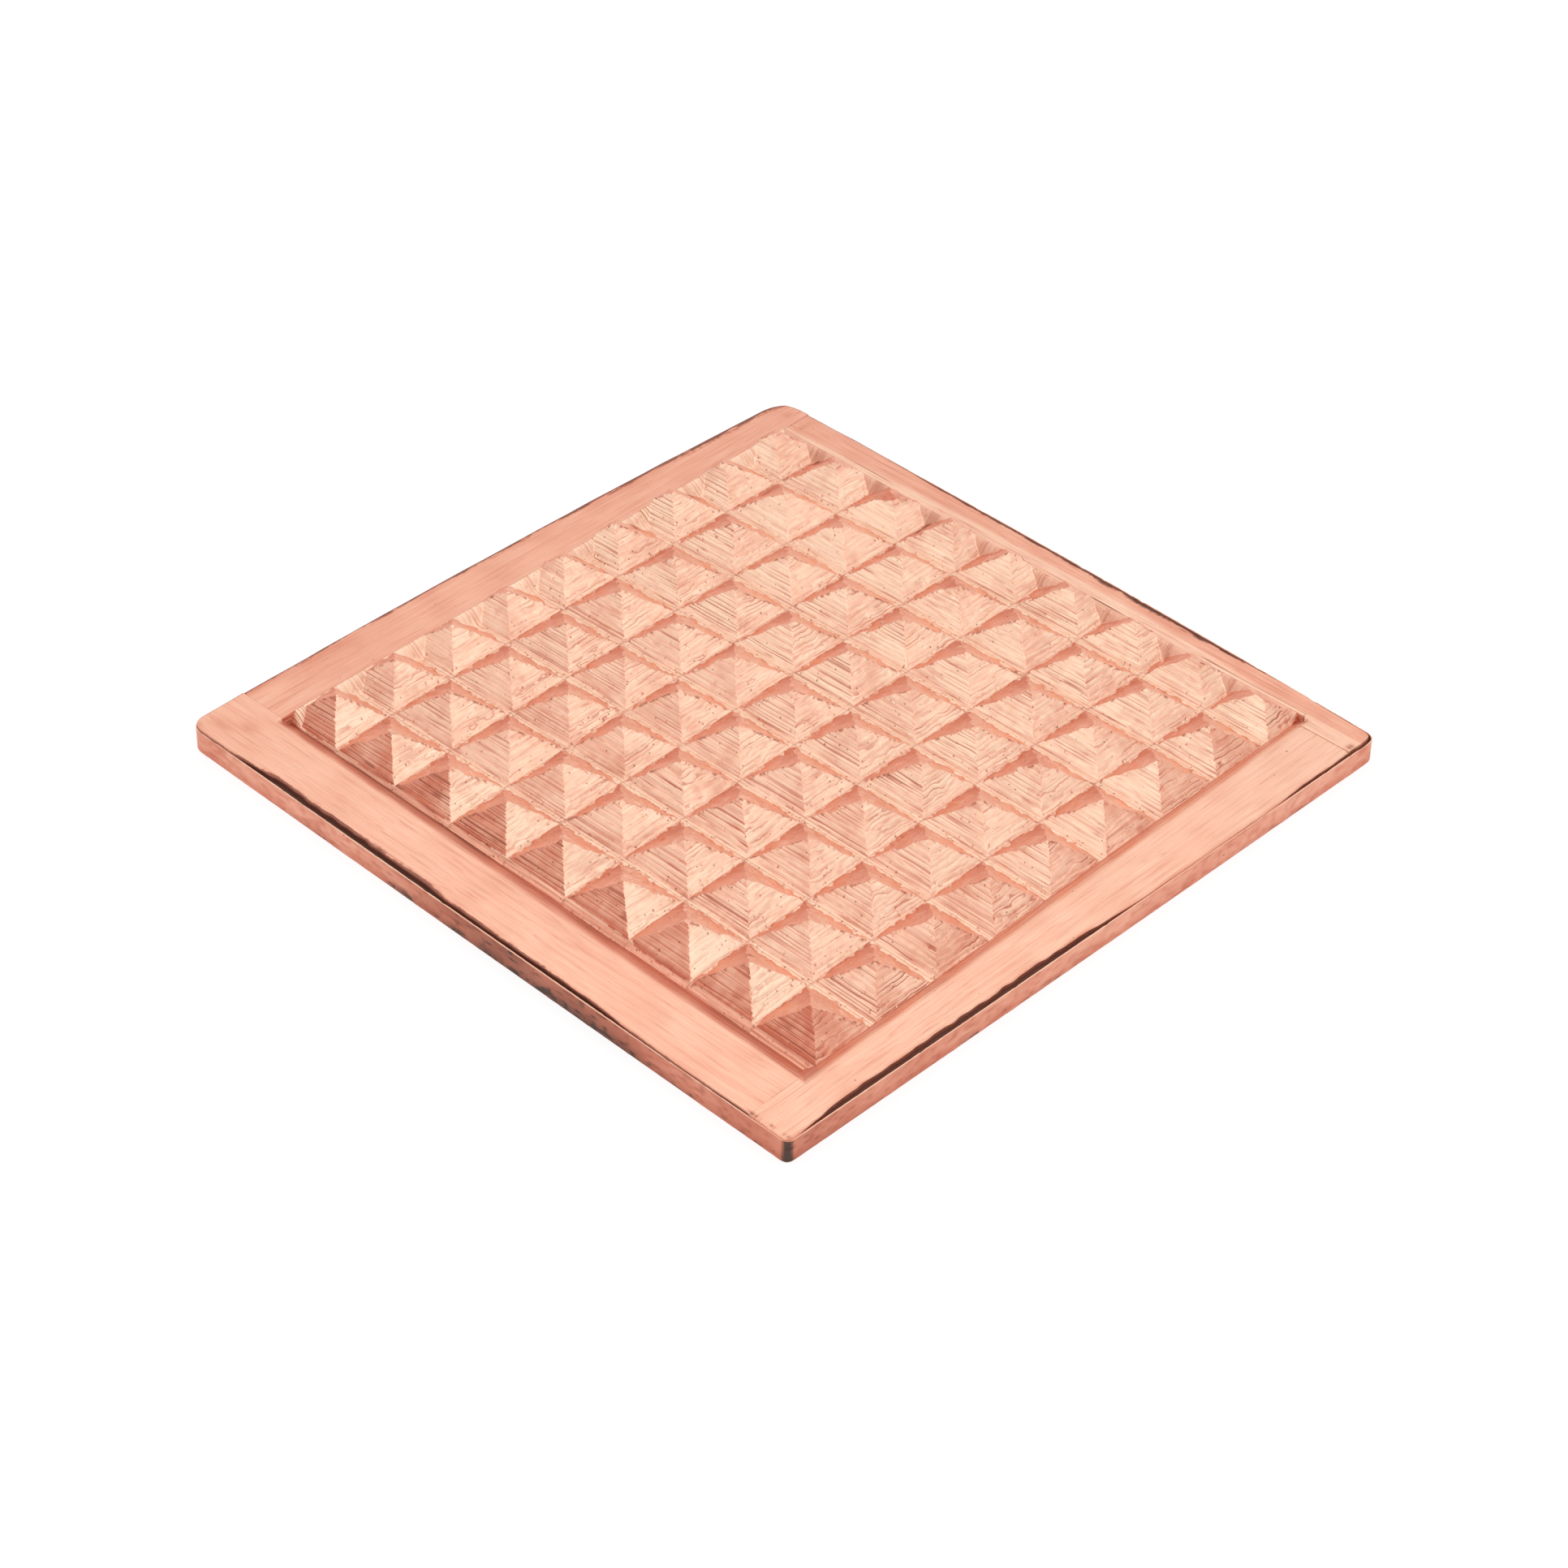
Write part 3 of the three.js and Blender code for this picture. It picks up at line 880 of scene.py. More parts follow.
def relief_on_strip(side, x, y, t, width):
    """Height and wear of a strip. t runs from its inner edge to its outer one."""
    along, across = (x, y) if axis_along(side) == 0 else (y, x)
    seed = 90 + 10 * SIDES.index(side)
    fine = smooth_noise(seed, across, along, 0.10, 4.0)
    broad = smooth_noise(seed + 1, across, along, 0.35, 9.0)
    wide = smooth_noise(seed + 2, x, y, 1.6, 1.6)
    amount = GRAIN_DEPTH[side] * (0.6 + 0.4 * line_noise(seed + 3, along, 5.0))
    in_band = np.zeros_like(x)
    off_band = np.zeros_like(x)
    if side == "right":
        in_band = smooth_step(0.15, -0.15, x - np.interp(y, BAND_PLACES, BAND_EDGES))
        off_band = 1 - in_band
    amount = amount * (1 + 0.4 * in_band - 0.4 * off_band)

    # The flat top, rounded over into the pocket's walls and worn down along its outer edge
    walls = {name: wall_height(name, x, y) for name in SIDES}
    planes = np.maximum.reduce(list(walls.values()))
    on_flank = smooth_step(BORDER_TOP + 0.02, BORDER_TOP - 0.1, planes)
    moat_flank = on_flank * (np.maximum(walls["left"], walls["front"]) >= planes - 0.01)
    depth = BORDER_TOP - planes
    outer = (1 - t) * width
    grain = 0.008 * amount * fine + 0.012 * amount * broad + 0.006 * wide
    top = BORDER_TOP - 0.022 + grain
    blend = np.clip((planes - top) / SHOULDER, -1, 1)
    height = np.minimum(planes, top) - SHOULDER / 4 * (1 - np.abs(blend)) ** 2
    height += 0.6 * grain * on_flank - 0.07 * smooth_step(0.14, 0.0, outer)

    # Dirt in the grain, along the outer edge and on marked spots, and painted shade on the steep walls
    dirt_places, dirt_widths, dirt_strength = EDGE_DIRT[side]
    brushed = 1 + 0.6 * smooth_noise(seed + 4, along, across, 1.3, 0.12)
    brushed += 0.25 * smooth_noise(seed + 5, along, across, 0.2, 0.2)
    dirt_width = np.interp(along, dirt_places, dirt_widths) * brushed
    grime = np.maximum.reduce([
        0.5 * amount * smooth_step(0.35, 0.95, -fine) + 0.12 * smooth_step(0.5, 1.0, -broad),
        dirt_strength * smooth_step(1.0, 0.35, outer / dirt_width),
        marks_at(BORDER_MARKS, x, y) * (0.7 + 0.5 * fine),
        0.35 * on_flank * (1 - moat_flank),
    ])
    polish = 0.15 + 0.4 * amount * smooth_step(0.2, 0.9, fine) + 0.45 * in_band
    tarnish = 0.06 + 0.10 * wide + 0.22 * off_band
    tarnish += 0.25 * smooth_step(TARNISHED_EDGE[side], 0.0, outer) * (0.6 + 0.5 * wide)
    # Painted shade, darker deeper down the moats' flanks
    tarnish += moat_flank * (0.42 if side == "left" else 0.3) * smooth_step(0.1, 0.45, depth)
    if side == "back":
        tarnish += 0.18 + 0.2 * smooth_step(0.9, 0.4, outer) * (0.6 + 0.4 * wide)
    if side == "front":
        polish += 0.15 + 0.2 * smooth_step(8.0, 22.0, x)
    full_lining = LEFT_LINING if side == "left" else FRONT_LINING
    return {
        "height": np.clip(height, SEAT + 0.01, BORDER_TOP),
        "tarnish": tarnish,
        "grime": grime,
        "polish": polish,
        "turn": 1.0 - axis_along(side),
        "lining": moat_flank * smooth_step(0.04, 0.2, depth) * full_lining,
        **flank_levels(depth, along),
    }


def build_strip(side, seam, material):
    """A border strip as a fine sheet between four edges, worn and closed down to its seat."""
    bm, s, even_t = new_sheet(STRIP_ALONG, STRIP_ACROSS)
    t = 1 - even_t
    t = t - PACKING * np.sin(2 * np.pi * t) / (2 * np.pi)
    inner, outer, start, end = strip_edges(side, seam)
    flat = coons(inner, outer, start, end, s, t)
    width = np.hypot(*(outer(s) - inner(s)).T)
    values = relief_on_strip(side, flat[:, 0], flat[:, 1], t, width)
    set_relief(bm, bm.verts, np.column_stack([flat, values["height"]]), values)
    close_slab(bm, SEAT)
    piece = finish_mesh(f"rubbed_strip_{side}", bm, f"border_strip_{side}", material)


# Base

# Points of a ring along one side, and rings up the outer walls and down the pocket's walls
SIDE_POINTS = 330
WALL_RINGS = 26
FLANK_RINGS = 38

# Places round the plate, anticlockwise from its front left corner: how far round, the number of the side, the
# place along it, and the same place as the wall's own x or y
SHARES = np.arange(SIDE_POINTS) / SIDE_POINTS
TRAVEL = np.arange(4 * SIDE_POINTS) * SIDE_LENGTH / SIDE_POINTS
SIDE_NUMBER = np.floor(TRAVEL / SIDE_LENGTH)
ALONG = TRAVEL % SIDE_LENGTH - SIDE_LENGTH / 2
ON_FRONT, ON_RIGHT, ON_BACK, ON_LEFT = (SIDE_NUMBER == n for n in range(4))
STEEP = ON_RIGHT | ON_BACK
WALL_PLACE = np.where(ON_BACK | ON_LEFT, -ALONG, ALONG)
TURNS = np.where(ON_FRONT | ON_BACK, 1.0, 0.0)
INWARD_WAYS = np.repeat([(0, 1), (-1, 0), (0, -1), (1, 0)], SIDE_POINTS, axis=0)

# The outer wall is burnt dark at its front left corner
BURNT = smooth_step(0.5, 0.1, np.minimum(TRAVEL, 4 * SIDE_LENGTH - TRAVEL))

# How brown the outer walls are at places along them, going round anticlockwise
LEFT_BROWN_PLACES = (-26.0, -12.0, -5.0, 3.0, 12.0, 18.0, 26.0)
LEFT_BROWN = (0.25, 0.3, 0.7, 1.0, 0.85, 0.55, 0.6)
FRONT_BROWN_PLACES = (-26.0, -16.0, 0.0, 26.0)
FRONT_BROWN = (0.65, 0.4, 0.2, 0.1)


def outline_ring(inset):
    """Points round the outline, drawn in by inset."""
    insets = np.broadcast_to(inset, 4 * SIDE_POINTS).reshape(4, SIDE_POINTS)
    return np.concatenate([outer_edge(side, SHARES, insets[n]) for n, side in enumerate(SIDES)])


def pocket_ring(height, swell=0.0):
    """Points round the pocket's walls at a height, moved into the pocket by swell."""
    points = np.concatenate([wall_line(side, height)(SHARES) for side in SIDES])
    return points + INWARD_WAYS * np.broadcast_to(swell, len(points))[:, None]


def round_noise(seed, level, cell_x, cell_y, apart=5.0):
    """Smooth random values round the plate at a level. Each side's pattern lies apart from the next one's."""
    return smooth_noise(seed, ALONG, level + apart * SIDE_NUMBER, cell_x, cell_y)


def ring(points, height, tarnish, grime, polish, **more):
    """One ring of the base: where its points lie, and what they tell the material."""
    values = {"tarnish": tarnish, "grime": grime, "polish": polish, "turn": TURNS, "lining": 0.0,
              "side_level": 0.0, "front_level": 0.0}
    values.update(more)
    return np.column_stack([points, np.broadcast_to(height, len(points))]), values


def outer_wall(level):
    """A ring of the outer walls, which are browner on the left and towards the underside."""
    rough = round_noise(201, level, 0.45, 0.22)
    fine = round_noise(202, level, 0.16, 0.12)
    brown = round_noise(203, level * 0.5, 2.4, 1.0)
    low = smooth_step(0.9, 0.1, level)
    browned = np.where(ON_LEFT, np.interp(ALONG, LEFT_BROWN_PLACES, LEFT_BROWN), 0.0)
    browned = np.where(ON_FRONT, np.interp(ALONG, FRONT_BROWN_PLACES, FRONT_BROWN), browned)
    inset = 0.024 + 0.014 * rough + 0.010 * fine + 0.03 * BURNT * np.abs(rough)
    tarnish = 0.30 + 0.22 * brown + 0.14 * rough + 0.30 * low + 0.45 * browned
    dark_side = 0.9 * browned * (0.9 + 0.2 * brown) + 0.8 * BURNT
    grime = 0.2 * smooth_step(0.1, 0.9, rough) + 0.22 * smooth_step(0.3, 1.0, fine) * low
    grime = grime + 0.35 * smooth_step(0.1, 0.8, -brown) * low + dark_side * (0.92 + 0.15 * low)
    return ring(outline_ring(inset), level, tarnish, grime, 0.1)


def rim_rings(top):
    """The nicked rim beside the strips with a painted highlight along it, the dirty seam, and the seat under
    the strips.
    """
    rough = round_noise(201, top, 0.45, 0.22)
    fine = round_noise(202, top, 0.16, 0.12)
    nicks = 0.05 * smooth_step(0.45, 0.9, rough) + 0.02 * np.abs(fine)
    return [
        # The two rim rings carry a painted highlight through their polish and highlight value of 0.7
        ring(outline_ring(0.03 + 0.3 * nicks), top - 0.02 - nicks, 0.1, 0.5 * BURNT, 0.7),
        ring(outline_ring(0.07), top - nicks, 0.1, 0.5 * BURNT, 0.7),
        ring(outline_ring(0.10), top - 0.02 - nicks, 0.4, 0.4, 0.0),
        ring(outline_ring(0.13), SEAT + 0.05, 0.2, 0.95, 0.0),
        ring(outline_ring(0.18), SEAT, 0.2, 0.95, 0.0),
        ring(outline_ring(0.8), SEAT, 0.2, 0.95, 0.0),
        ring(pocket_ring(SEAT), SEAT, 0.5, 0.3, 0.0),
    ]


def pocket_wall(level):
    """A ring of the pocket's walls: filed flanks of the moats with painted shade low down, and two plain
    steep walls with painted shade.
    """
    depth = BORDER_TOP - level
    deep = smooth_step(0.55, 0.95, depth)
    line = round_noise(204, level * 6, 6.0, 0.5, apart=9.0)
    broad = round_noise(205, level * 3, 9.0, 0.5, apart=9.0)
    fine = round_noise(206, level * 12, 0.8, 0.5, apart=0.0)
    # Painted shade: the moats' flanks darker low down
    tarnish = np.where(STEEP, 0.1, np.where(ON_LEFT, 0.5, 0.34)) + 0.3 * deep * ~STEEP + 0.1 * broad
    grime = 0.4 * smooth_step(0.1, 0.8, -line) * (0.7 + 0.3 * fine)
    # Painted shade low in the moats, darker towards the back on the left, and on the steep walls
    grime += deep * np.where(ON_LEFT, 0.35 + 0.25 * smooth_step(8.0, -6.0, ALONG), 0.3 * ~STEEP)
    grime = np.where(STEEP, 0.35, np.where(ON_LEFT, grime, 0.8 * grime))
    lining = np.where(STEEP, 0.0, np.where(ON_LEFT, LEFT_LINING, FRONT_LINING))
    points = pocket_ring(level, 0.012 * line + 0.010 * broad)
    return ring(points, level, tarnish, grime, 0.1, lining=lining, **flank_levels(depth, WALL_PLACE))


def base_rings(lip):
    """The base as rings of points from the edge of its underside, up its walls and down into the pocket."""
    rim_top = SEAT + lip
    rings = [ring(outline_ring(0.07), 0.0, 0.7, 0.3, 0.0)]
    rings += [outer_wall(level) for level in np.linspace(0.06, rim_top - 0.08, WALL_RINGS)]
    rings += rim_rings(rim_top)
    rings += [pocket_wall(level) for level in np.linspace(SEAT - 0.012, POCKET_FLOOR + 0.06, FLANK_RINGS)]
    return rings


def next_ring(bm, verts, edges):
    """Draws a ring out into another one. Gives the new vertices, each in its old one's place, and edges."""
    made = bmesh.ops.extrude_edge_only(bm, edges=edges)["geom"]
    fresh = set(of_kind(made, bmesh.types.BMVert))
    edges = [edge for edge in of_kind(made, bmesh.types.BMEdge) if fresh.issuperset(edge.verts)]
    twins = [next(edge.other_vert(vert) for edge in vert.link_edges if edge.other_vert(vert) in fresh)
             for vert in verts]
    return twins, edges


def build_base(sizes, material):
    """The base: one ring of points drawn up into walls, over the rim and down into the pocket."""
    bm = new_bmesh()
    bmesh.ops.create_circle(bm, segments=4 * SIDE_POINTS, radius=1)
    start = sorted(bm.verts, key=lambda vert: math.atan2(vert.co.y, vert.co.x))
    verts = start
    edges = list(bm.edges)
    for n, (places, values) in enumerate(base_rings(sizes.lip / MM)):
        if n > 0:
            verts, edges = next_ring(bm, verts, edges)
        set_relief(bm, verts, places, values)
    for face in bm.faces:
        face.smooth = True
    fill(bm, [start, verts])
    piece = finish_mesh("walled_base", bm, "base_plate", material)


# Materials

def link(tree, source, target):
    tree.links.new(source, target)


def fresh_tree(owner):
    """The node tree of a material or world, emptied."""
    owner.use_nodes = True
    owner.node_tree.nodes.clear()
    return owner.node_tree


def set_inputs(tree, node, inputs):
    """Sets a node's inputs, or links them to sockets. They are given by number or name."""
    for key, value in inputs.items():
        if isinstance(value, bpy.types.NodeSocket):
            link(tree, value, node.inputs[key])
        else:
            node.inputs[key].default_value = value


def new_node(tree, kind, inputs=None, **options):
    """Adds a node with its options and inputs."""
    node = tree.nodes.new(kind)
    for option, value in options.items():
        setattr(node, option, value)
    set_inputs(tree, node, inputs or {})
    return node


def new_group(name, inputs, outputs):
    """A node group. Each input's default says its kind: a number, a colour, or None for a vector."""
    kinds = {float: "NodeSocketFloat", tuple: "NodeSocketColor", type(None): "NodeSocketVector"}
    tree = bpy.data.node_groups.new(name, "ShaderNodeTree")
    for label, default in inputs.items():
        socket = tree.interface.new_socket(name=label, in_out="INPUT", socket_type=kinds[type(default)])
        if default is not None:
            socket.default_value = default
    for label in outputs:
        kind = "NodeSocketColor" if label == "Color" else "NodeSocketFloat"
        tree.interface.new_socket(name=label, in_out="OUTPUT", socket_type=kind)
    return tree, tree.nodes.new("NodeGroupInput").outputs, tree.nodes.new("NodeGroupOutput").inputs


def math_node(tree, operation, first, second=0.0, clamp=False):
    """A Math node whose two inputs are sockets or numbers."""
    inputs = {0: first, 1: second}
    return new_node(tree, "ShaderNodeMath", inputs, operation=operation, use_clamp=clamp).outputs[0]


def times(tree, first, second):
    return math_node(tree, "MULTIPLY", first, second)


def add_up(tree, start, parts, clamp=False):
    """The start and all parts, each a socket and its weight. clamp keeps the sum from 0 to 1."""
    total = start
    for n, (value, weight) in enumerate(parts):
        total = math_node(tree, "ADD", total, times(tree, value, weight), clamp and n == len(parts) - 1)
    return total


def distance(tree, value, middle):
    """How far a value lies from a middle."""
    return math_node(tree, "ABSOLUTE", math_node(tree, "SUBTRACT", value, middle))


def map_range(tree, value, low, high, new_low=0.0, new_high=1.0):
    """Turns a range of values into another one, and keeps to its ends beyond it."""
    inputs = {0: value, 1: low, 2: high, 3: new_low, 4: new_high}
    return new_node(tree, "ShaderNodeMapRange", inputs).outputs[0]


def noise(tree, place, scale, detail, roughness=0.5):
    inputs = {"Vector": place, "Scale": scale, "Detail": detail, "Roughness": roughness}
    return new_node(tree, "ShaderNodeTexNoise", inputs).outputs[0]


def mix_colors(tree, factor, first, second):
    return new_node(tree, "ShaderNodeMix", {0: factor, 6: first, 7: second}, data_type="RGBA").outputs[2]


def choose(tree, turn, along_y, along_x):
    """The first value where the grain runs along Y, and the second where it runs along X."""
    return new_node(tree, "ShaderNodeMix", {0: turn, 2: along_y, 3: along_x}).outputs[0]


def grain_group():
    """Fine lines that run along Y where Turn is 0 and along X where it is 1."""
    labels = ("Lines", "Streaks", "Creases")
    inputs = {"Vector": None, "Turn": 0.0, "Spacing": 9000.0, "Stretch": 0.05}
    tree, given, out = new_group("Filed grain", inputs, labels)
    fine_scale = given["Spacing"]
    long_scale = times(tree, fine_scale, given["Stretch"])
    found = []
    for scale_x, scale_y in ((fine_scale, long_scale), (long_scale, fine_scale)):
        scale = new_node(tree, "ShaderNodeCombineXYZ", {0: scale_x, 1: scale_y, 2: 1000.0}).outputs[0]
        place = new_node(tree, "ShaderNodeVectorMath", {0: given["Vector"], 1: scale},
                         operation="MULTIPLY").outputs[0]
        winding = distance(tree, noise(tree, place, 0.42, 1.0, 0.4), 0.5)
        thin = map_range(tree, winding, 0.035, 0.008)
        found.append((noise(tree, place, 1.0, 3.0, 0.6), noise(tree, place, 0.3, 2.0), thin))
    for label, along_y, along_x in zip(labels, *found):
        link(tree, choose(tree, given["Turn"], along_y, along_x), out[label])


def steps_group():
    """The thin dark cuts of filed steps, and a painted highlight along each step's crest."""
    labels = ("Cuts", "Crest highlights")
    inputs = {"Side level": 0.0, "Front level": 0.0, "Turn": 0.0, "Lining": 0.0, "Streaks": 0.5}
    tree, given, out = new_group("Filed steps", inputs, labels)
    width = map_range(tree, given["Streaks"], 0.36, 0.64, 0.07, 0.15)
    found = []
    for label in ("Side level", "Front level"):
        part = math_node(tree, "FRACT", given[label])
        inside = math_node(tree, "SUBTRACT", width, distance(tree, part, CUT_PLACE))
        cut = map_range(tree, inside, -0.04, 0.05)
        # The second value is a painted highlight on the tread just above each cut
        found.append((cut, times(tree, map_range(tree, part, 0.45, 0.7), map_range(tree, part, 1.0, 0.85))))
    for label, side, front in zip(labels, *found):
        link(tree, times(tree, choose(tree, given["Turn"], side, front), given["Lining"]), out[label])


def specks_group():
    """Small round specks of dirt, a few to the square millimetre."""
    tree, given, out = new_group("Specks", {"Vector": None, "Scale": 2500.0, "Share": 0.3}, ("Specks",))
    cells = new_node(tree, "ShaderNodeTexVoronoi", {"Vector": given["Vector"], "Scale": given["Scale"]})
    chosen = new_node(tree, "ShaderNodeSeparateColor", {0: cells.outputs["Color"]})
    wanted = math_node(tree, "LESS_THAN", chosen.outputs[0], given["Share"])
    size = map_range(tree, chosen.outputs[1], 0.0, 1.0, 0.10, 0.26)
    near = math_node(tree, "SUBTRACT", size, cells.outputs["Distance"])
    link(tree, times(tree, map_range(tree, near, 0.0, 0.12), wanted), out["Specks"])


def copper_group():
    """Colour, roughness and relief of worn copper from its masks of wear, which also carry painted highlights
    and painted shade.
    """
    white = (1.0, 1.0, 1.0, 1.0)
    masks = ("Tarnish", "Grime", "Polish", "Lines", "Streaks", "Creases", "Specks", "Cuts", "Crest highlights")
    inputs = {"Light": white, "Plain": white, "Deep": white, "Soot and shade": white, **dict.fromkeys(masks, 0.0),
              "Vector": None, "Line contrast": 0.5}
    tree, get, out = new_group("Worn copper", inputs, ("Color", "Roughness", "Height"))
    patchy = map_range(tree, noise(tree, get["Vector"], 420.0, 5.0, 0.65), 0.3, 0.7, -0.2, 0.2)
    mottle = map_range(tree, noise(tree, get["Vector"], 5200.0, 2.0, 0.6), 0.62, 0.74)
    contrast = get["Line contrast"]
    line_tint = times(tree, map_range(tree, get["Lines"], 0.3, 0.7, -1.0, 1.0), contrast)
    fine_dirt = times(tree, times(tree, get["Creases"], contrast),
                      map_range(tree, get["Streaks"], 0.62, 0.38, 0.25, 0.85))

    # From fresh copper with painted highlights to tarnish with painted shade, brown dirt and soot
    light = add_up(tree, get["Polish"], [(patchy, 1.0), (get["Crest highlights"], 0.35), (line_tint, 0.35)], clamp=True)
    color = mix_colors(tree, light, get["Plain"], get["Light"])
    streaks = map_range(tree, get["Streaks"], 0.52, 0.3, 0.0, 0.22)
    deep = add_up(tree, get["Tarnish"], [(patchy, 0.5), (streaks, contrast), (line_tint, -0.12)], clamp=True)
    color = mix_colors(tree, deep, color, get["Deep"])
    brown = add_up(tree, get["Grime"], [(fine_dirt, 0.6), (get["Cuts"], 0.85), (mottle, 0.14)], clamp=True)
    color = mix_colors(tree, brown, color, get["Deep"])
    # The soot mix paints shade into creases as well as dirt, where the grime and shade mask carries shade
    dirt = math_node(tree, "MAXIMUM", get["Grime"], times(tree, get["Specks"], 0.88))
    dirt = math_node(tree, "MAXIMUM", dirt, times(tree, get["Cuts"], 0.76))
    dirt = math_node(tree, "POWER", dirt, 2.6, clamp=True)
    link(tree, mix_colors(tree, dirt, color, get["Soot and shade"]), out["Color"])

    rough = add_up(tree, 0.42, [(get["Tarnish"], 0.12), (patchy, 0.4), (dirt, 0.3)], clamp=True)
    link(tree, rough, out["Roughness"])
    hollows = [(fine_dirt, -0.8), (get["Specks"], -1.0), (get["Cuts"], -1.0)]
    height = add_up(tree, times(tree, line_tint, 0.5), hollows)
    link(tree, height, out["Height"])


# Each slot's finish: its name, the inputs of its node groups, the bump's strength and the share of bare metal
LOOKS = {
    "pyramid_copper": {"name": "filed_copper", "Spacing": 9000.0, "Stretch": 0.06, "Line contrast": 0.5,
                       "Scale": 3300.0, "Share": 0.3, "bump": 0.7, "metallic": 0.92},
    "border_copper": {"name": "rubbed_copper", "Spacing": 14000.0, "Stretch": 0.03, "Line contrast": 0.55,
                      "Scale": 2600.0, "Share": 0.02, "bump": 0.5, "metallic": 0.92},
    "base_copper": {"name": "tarnished_and_shaded_copper", "Spacing": 8000.0, "Stretch": 0.05, "Line contrast": 0.6,
                    "Scale": 2600.0, "Share": 0.12, "bump": 0.7, "metallic": 0.9},
}
BUMP_DEPTH = 0.02 * MM


def copper_material(look):
    """A copper finish. The node groups take what they need by name from the vertices, the groups before them
    and the look."""
    material = bpy.data.materials.new(look["name"])
    tree = fresh_tree(material)
    found = {"Vector": new_node(tree, "ShaderNodeTexCoord").outputs["Object"]}
    for key in WEAR_AND_LIGHT + LEVELS:
        label = key.replace("_", " ").capitalize()
        found[label] = new_node(tree, "ShaderNodeAttribute", attribute_name=key).outputs["Fac"]
    for name in ("Filed grain", "Filed steps", "Specks", "Worn copper"):
        node = new_node(tree, "ShaderNodeGroup", node_tree=bpy.data.node_groups[name])
        labels = [socket.name for socket in node.inputs]
        set_inputs(tree, node, {label: found.get(label, look.get(label)) for label in labels})
        found.update({socket.name: socket for socket in node.outputs})
    bump = new_node(tree, "ShaderNodeBump", {
        "Strength": look["bump"], "Distance": BUMP_DEPTH, "Height": found["Height"]})
    shader = new_node(tree, "ShaderNodeBsdfPrincipled", {
        "Metallic": look["metallic"], "Base Color": found["Color"], "Roughness": found["Roughness"],
        "Normal": bump.outputs[0]})
    new_node(tree, "ShaderNodeOutputMaterial", {"Surface": shader.outputs[0]})
    return material


def material_named(slot):
    """The finish for a slot, made once."""
    look = LOOKS[slot]
    if look["name"] in bpy.data.materials:
        return bpy.data.materials[look["name"]]
    if "Worn copper" not in bpy.data.node_groups:
        for make_group in (grain_group, steps_group, specks_group, copper_group):
            make_group()
    sizes = settings()
    soot_and_shade = sizes.seam_soot_and_shade if slot == "base_copper" else sizes.soot_and_shade
    return copper_material({**look, "Light": sizes.light_copper, "Plain": sizes.plain_copper,
                            "Deep": sizes.deep_copper, "Soot and shade": soot_and_shade})


# Stage: camera, lamp, world and floor

CAMERA_PLACE = (-145.088, -133.849, 156.634)
CAMERA_RIGHT = (0.688368, -0.725137, 0.018051)
CAMERA_AIM = (0.572415, 0.527768, -0.627536)
CAMERA_LENS = 96.162
SENSOR = 36.0
LAMP_PLACE = (28.0, 0.0, 150.0)
LAMP_RADIUS = 145.0
LAMP_LEVEL = 0.49
WORLD_OVERHEAD = 0.75

# The floor: half its side in metres, its grey for the lamp's light, and how it glows for the camera and for
# light that falls on matt surfaces
FLOOR_REACH = 3.0
FLOOR_GREY = (0.2, 0.2, 0.2, 1.0)
FLOOR_SEEN = 0.84
FLOOR_LIGHT = 0.6
WHITE = (1.0, 1.0, 1.0, 1.0)


def build_camera():
    data = bpy.data.cameras.new("camera")
    data.lens = CAMERA_LENS
    data.sensor_fit = "HORIZONTAL"
    data.sensor_width = SENSOR
    data.clip_start = 0.001
    camera = add_object("camera", data)
    aim = Vector(CAMERA_AIM).normalized()
    right = Vector(CAMERA_RIGHT)
    right = (right - aim * right.dot(aim)).normalized()
    turn = Matrix((right, right.cross(aim), -aim)).transposed().to_4x4()
    camera.matrix_world = Matrix.Translation(Vector(CAMERA_PLACE) * MM) @ turn
    bpy.context.scene.camera = camera


def build_lamp():
    data = bpy.data.lights.new("soft_lamp", "AREA")
    data.shape = "DISK"
    data.size = 2 * LAMP_RADIUS * MM
    area = math.pi * (LAMP_RADIUS * MM) ** 2
    data.energy = LAMP_LEVEL * math.pi * area
    lamp = add_object("soft_lamp", data)
    lamp.location = Vector(LAMP_PLACE) * MM
    lamp.visible_camera = False


def build_world():
    world = bpy.data.worlds.new("studio")
    bpy.context.scene.world = world
    tree = fresh_tree(world)
    way = new_node(tree, "ShaderNodeTexCoord").outputs["Generated"]
    rise = new_node(tree, "ShaderNodeSeparateXYZ", {0: way}).outputs[2]
    strength = map_range(tree, rise, 0.25, 0.75, 1.0, WORLD_OVERHEAD)
    sky = new_node(tree, "ShaderNodeBackground", {"Color": WHITE, "Strength": strength})
    new_node(tree, "ShaderNodeOutputWorld", {"Surface": sky.outputs[0]})


def seen_directly(tree):
    """1 for what the camera, a reflection or a clear material sees, and 0 for the light on matt surfaces."""
    path = new_node(tree, "ShaderNodeLightPath")
    seen = math_node(tree, "MAXIMUM", path.outputs["Is Camera Ray"], path.outputs["Is Glossy Ray"])
    return math_node(tree, "MAXIMUM", seen, path.outputs["Is Transmission Ray"])


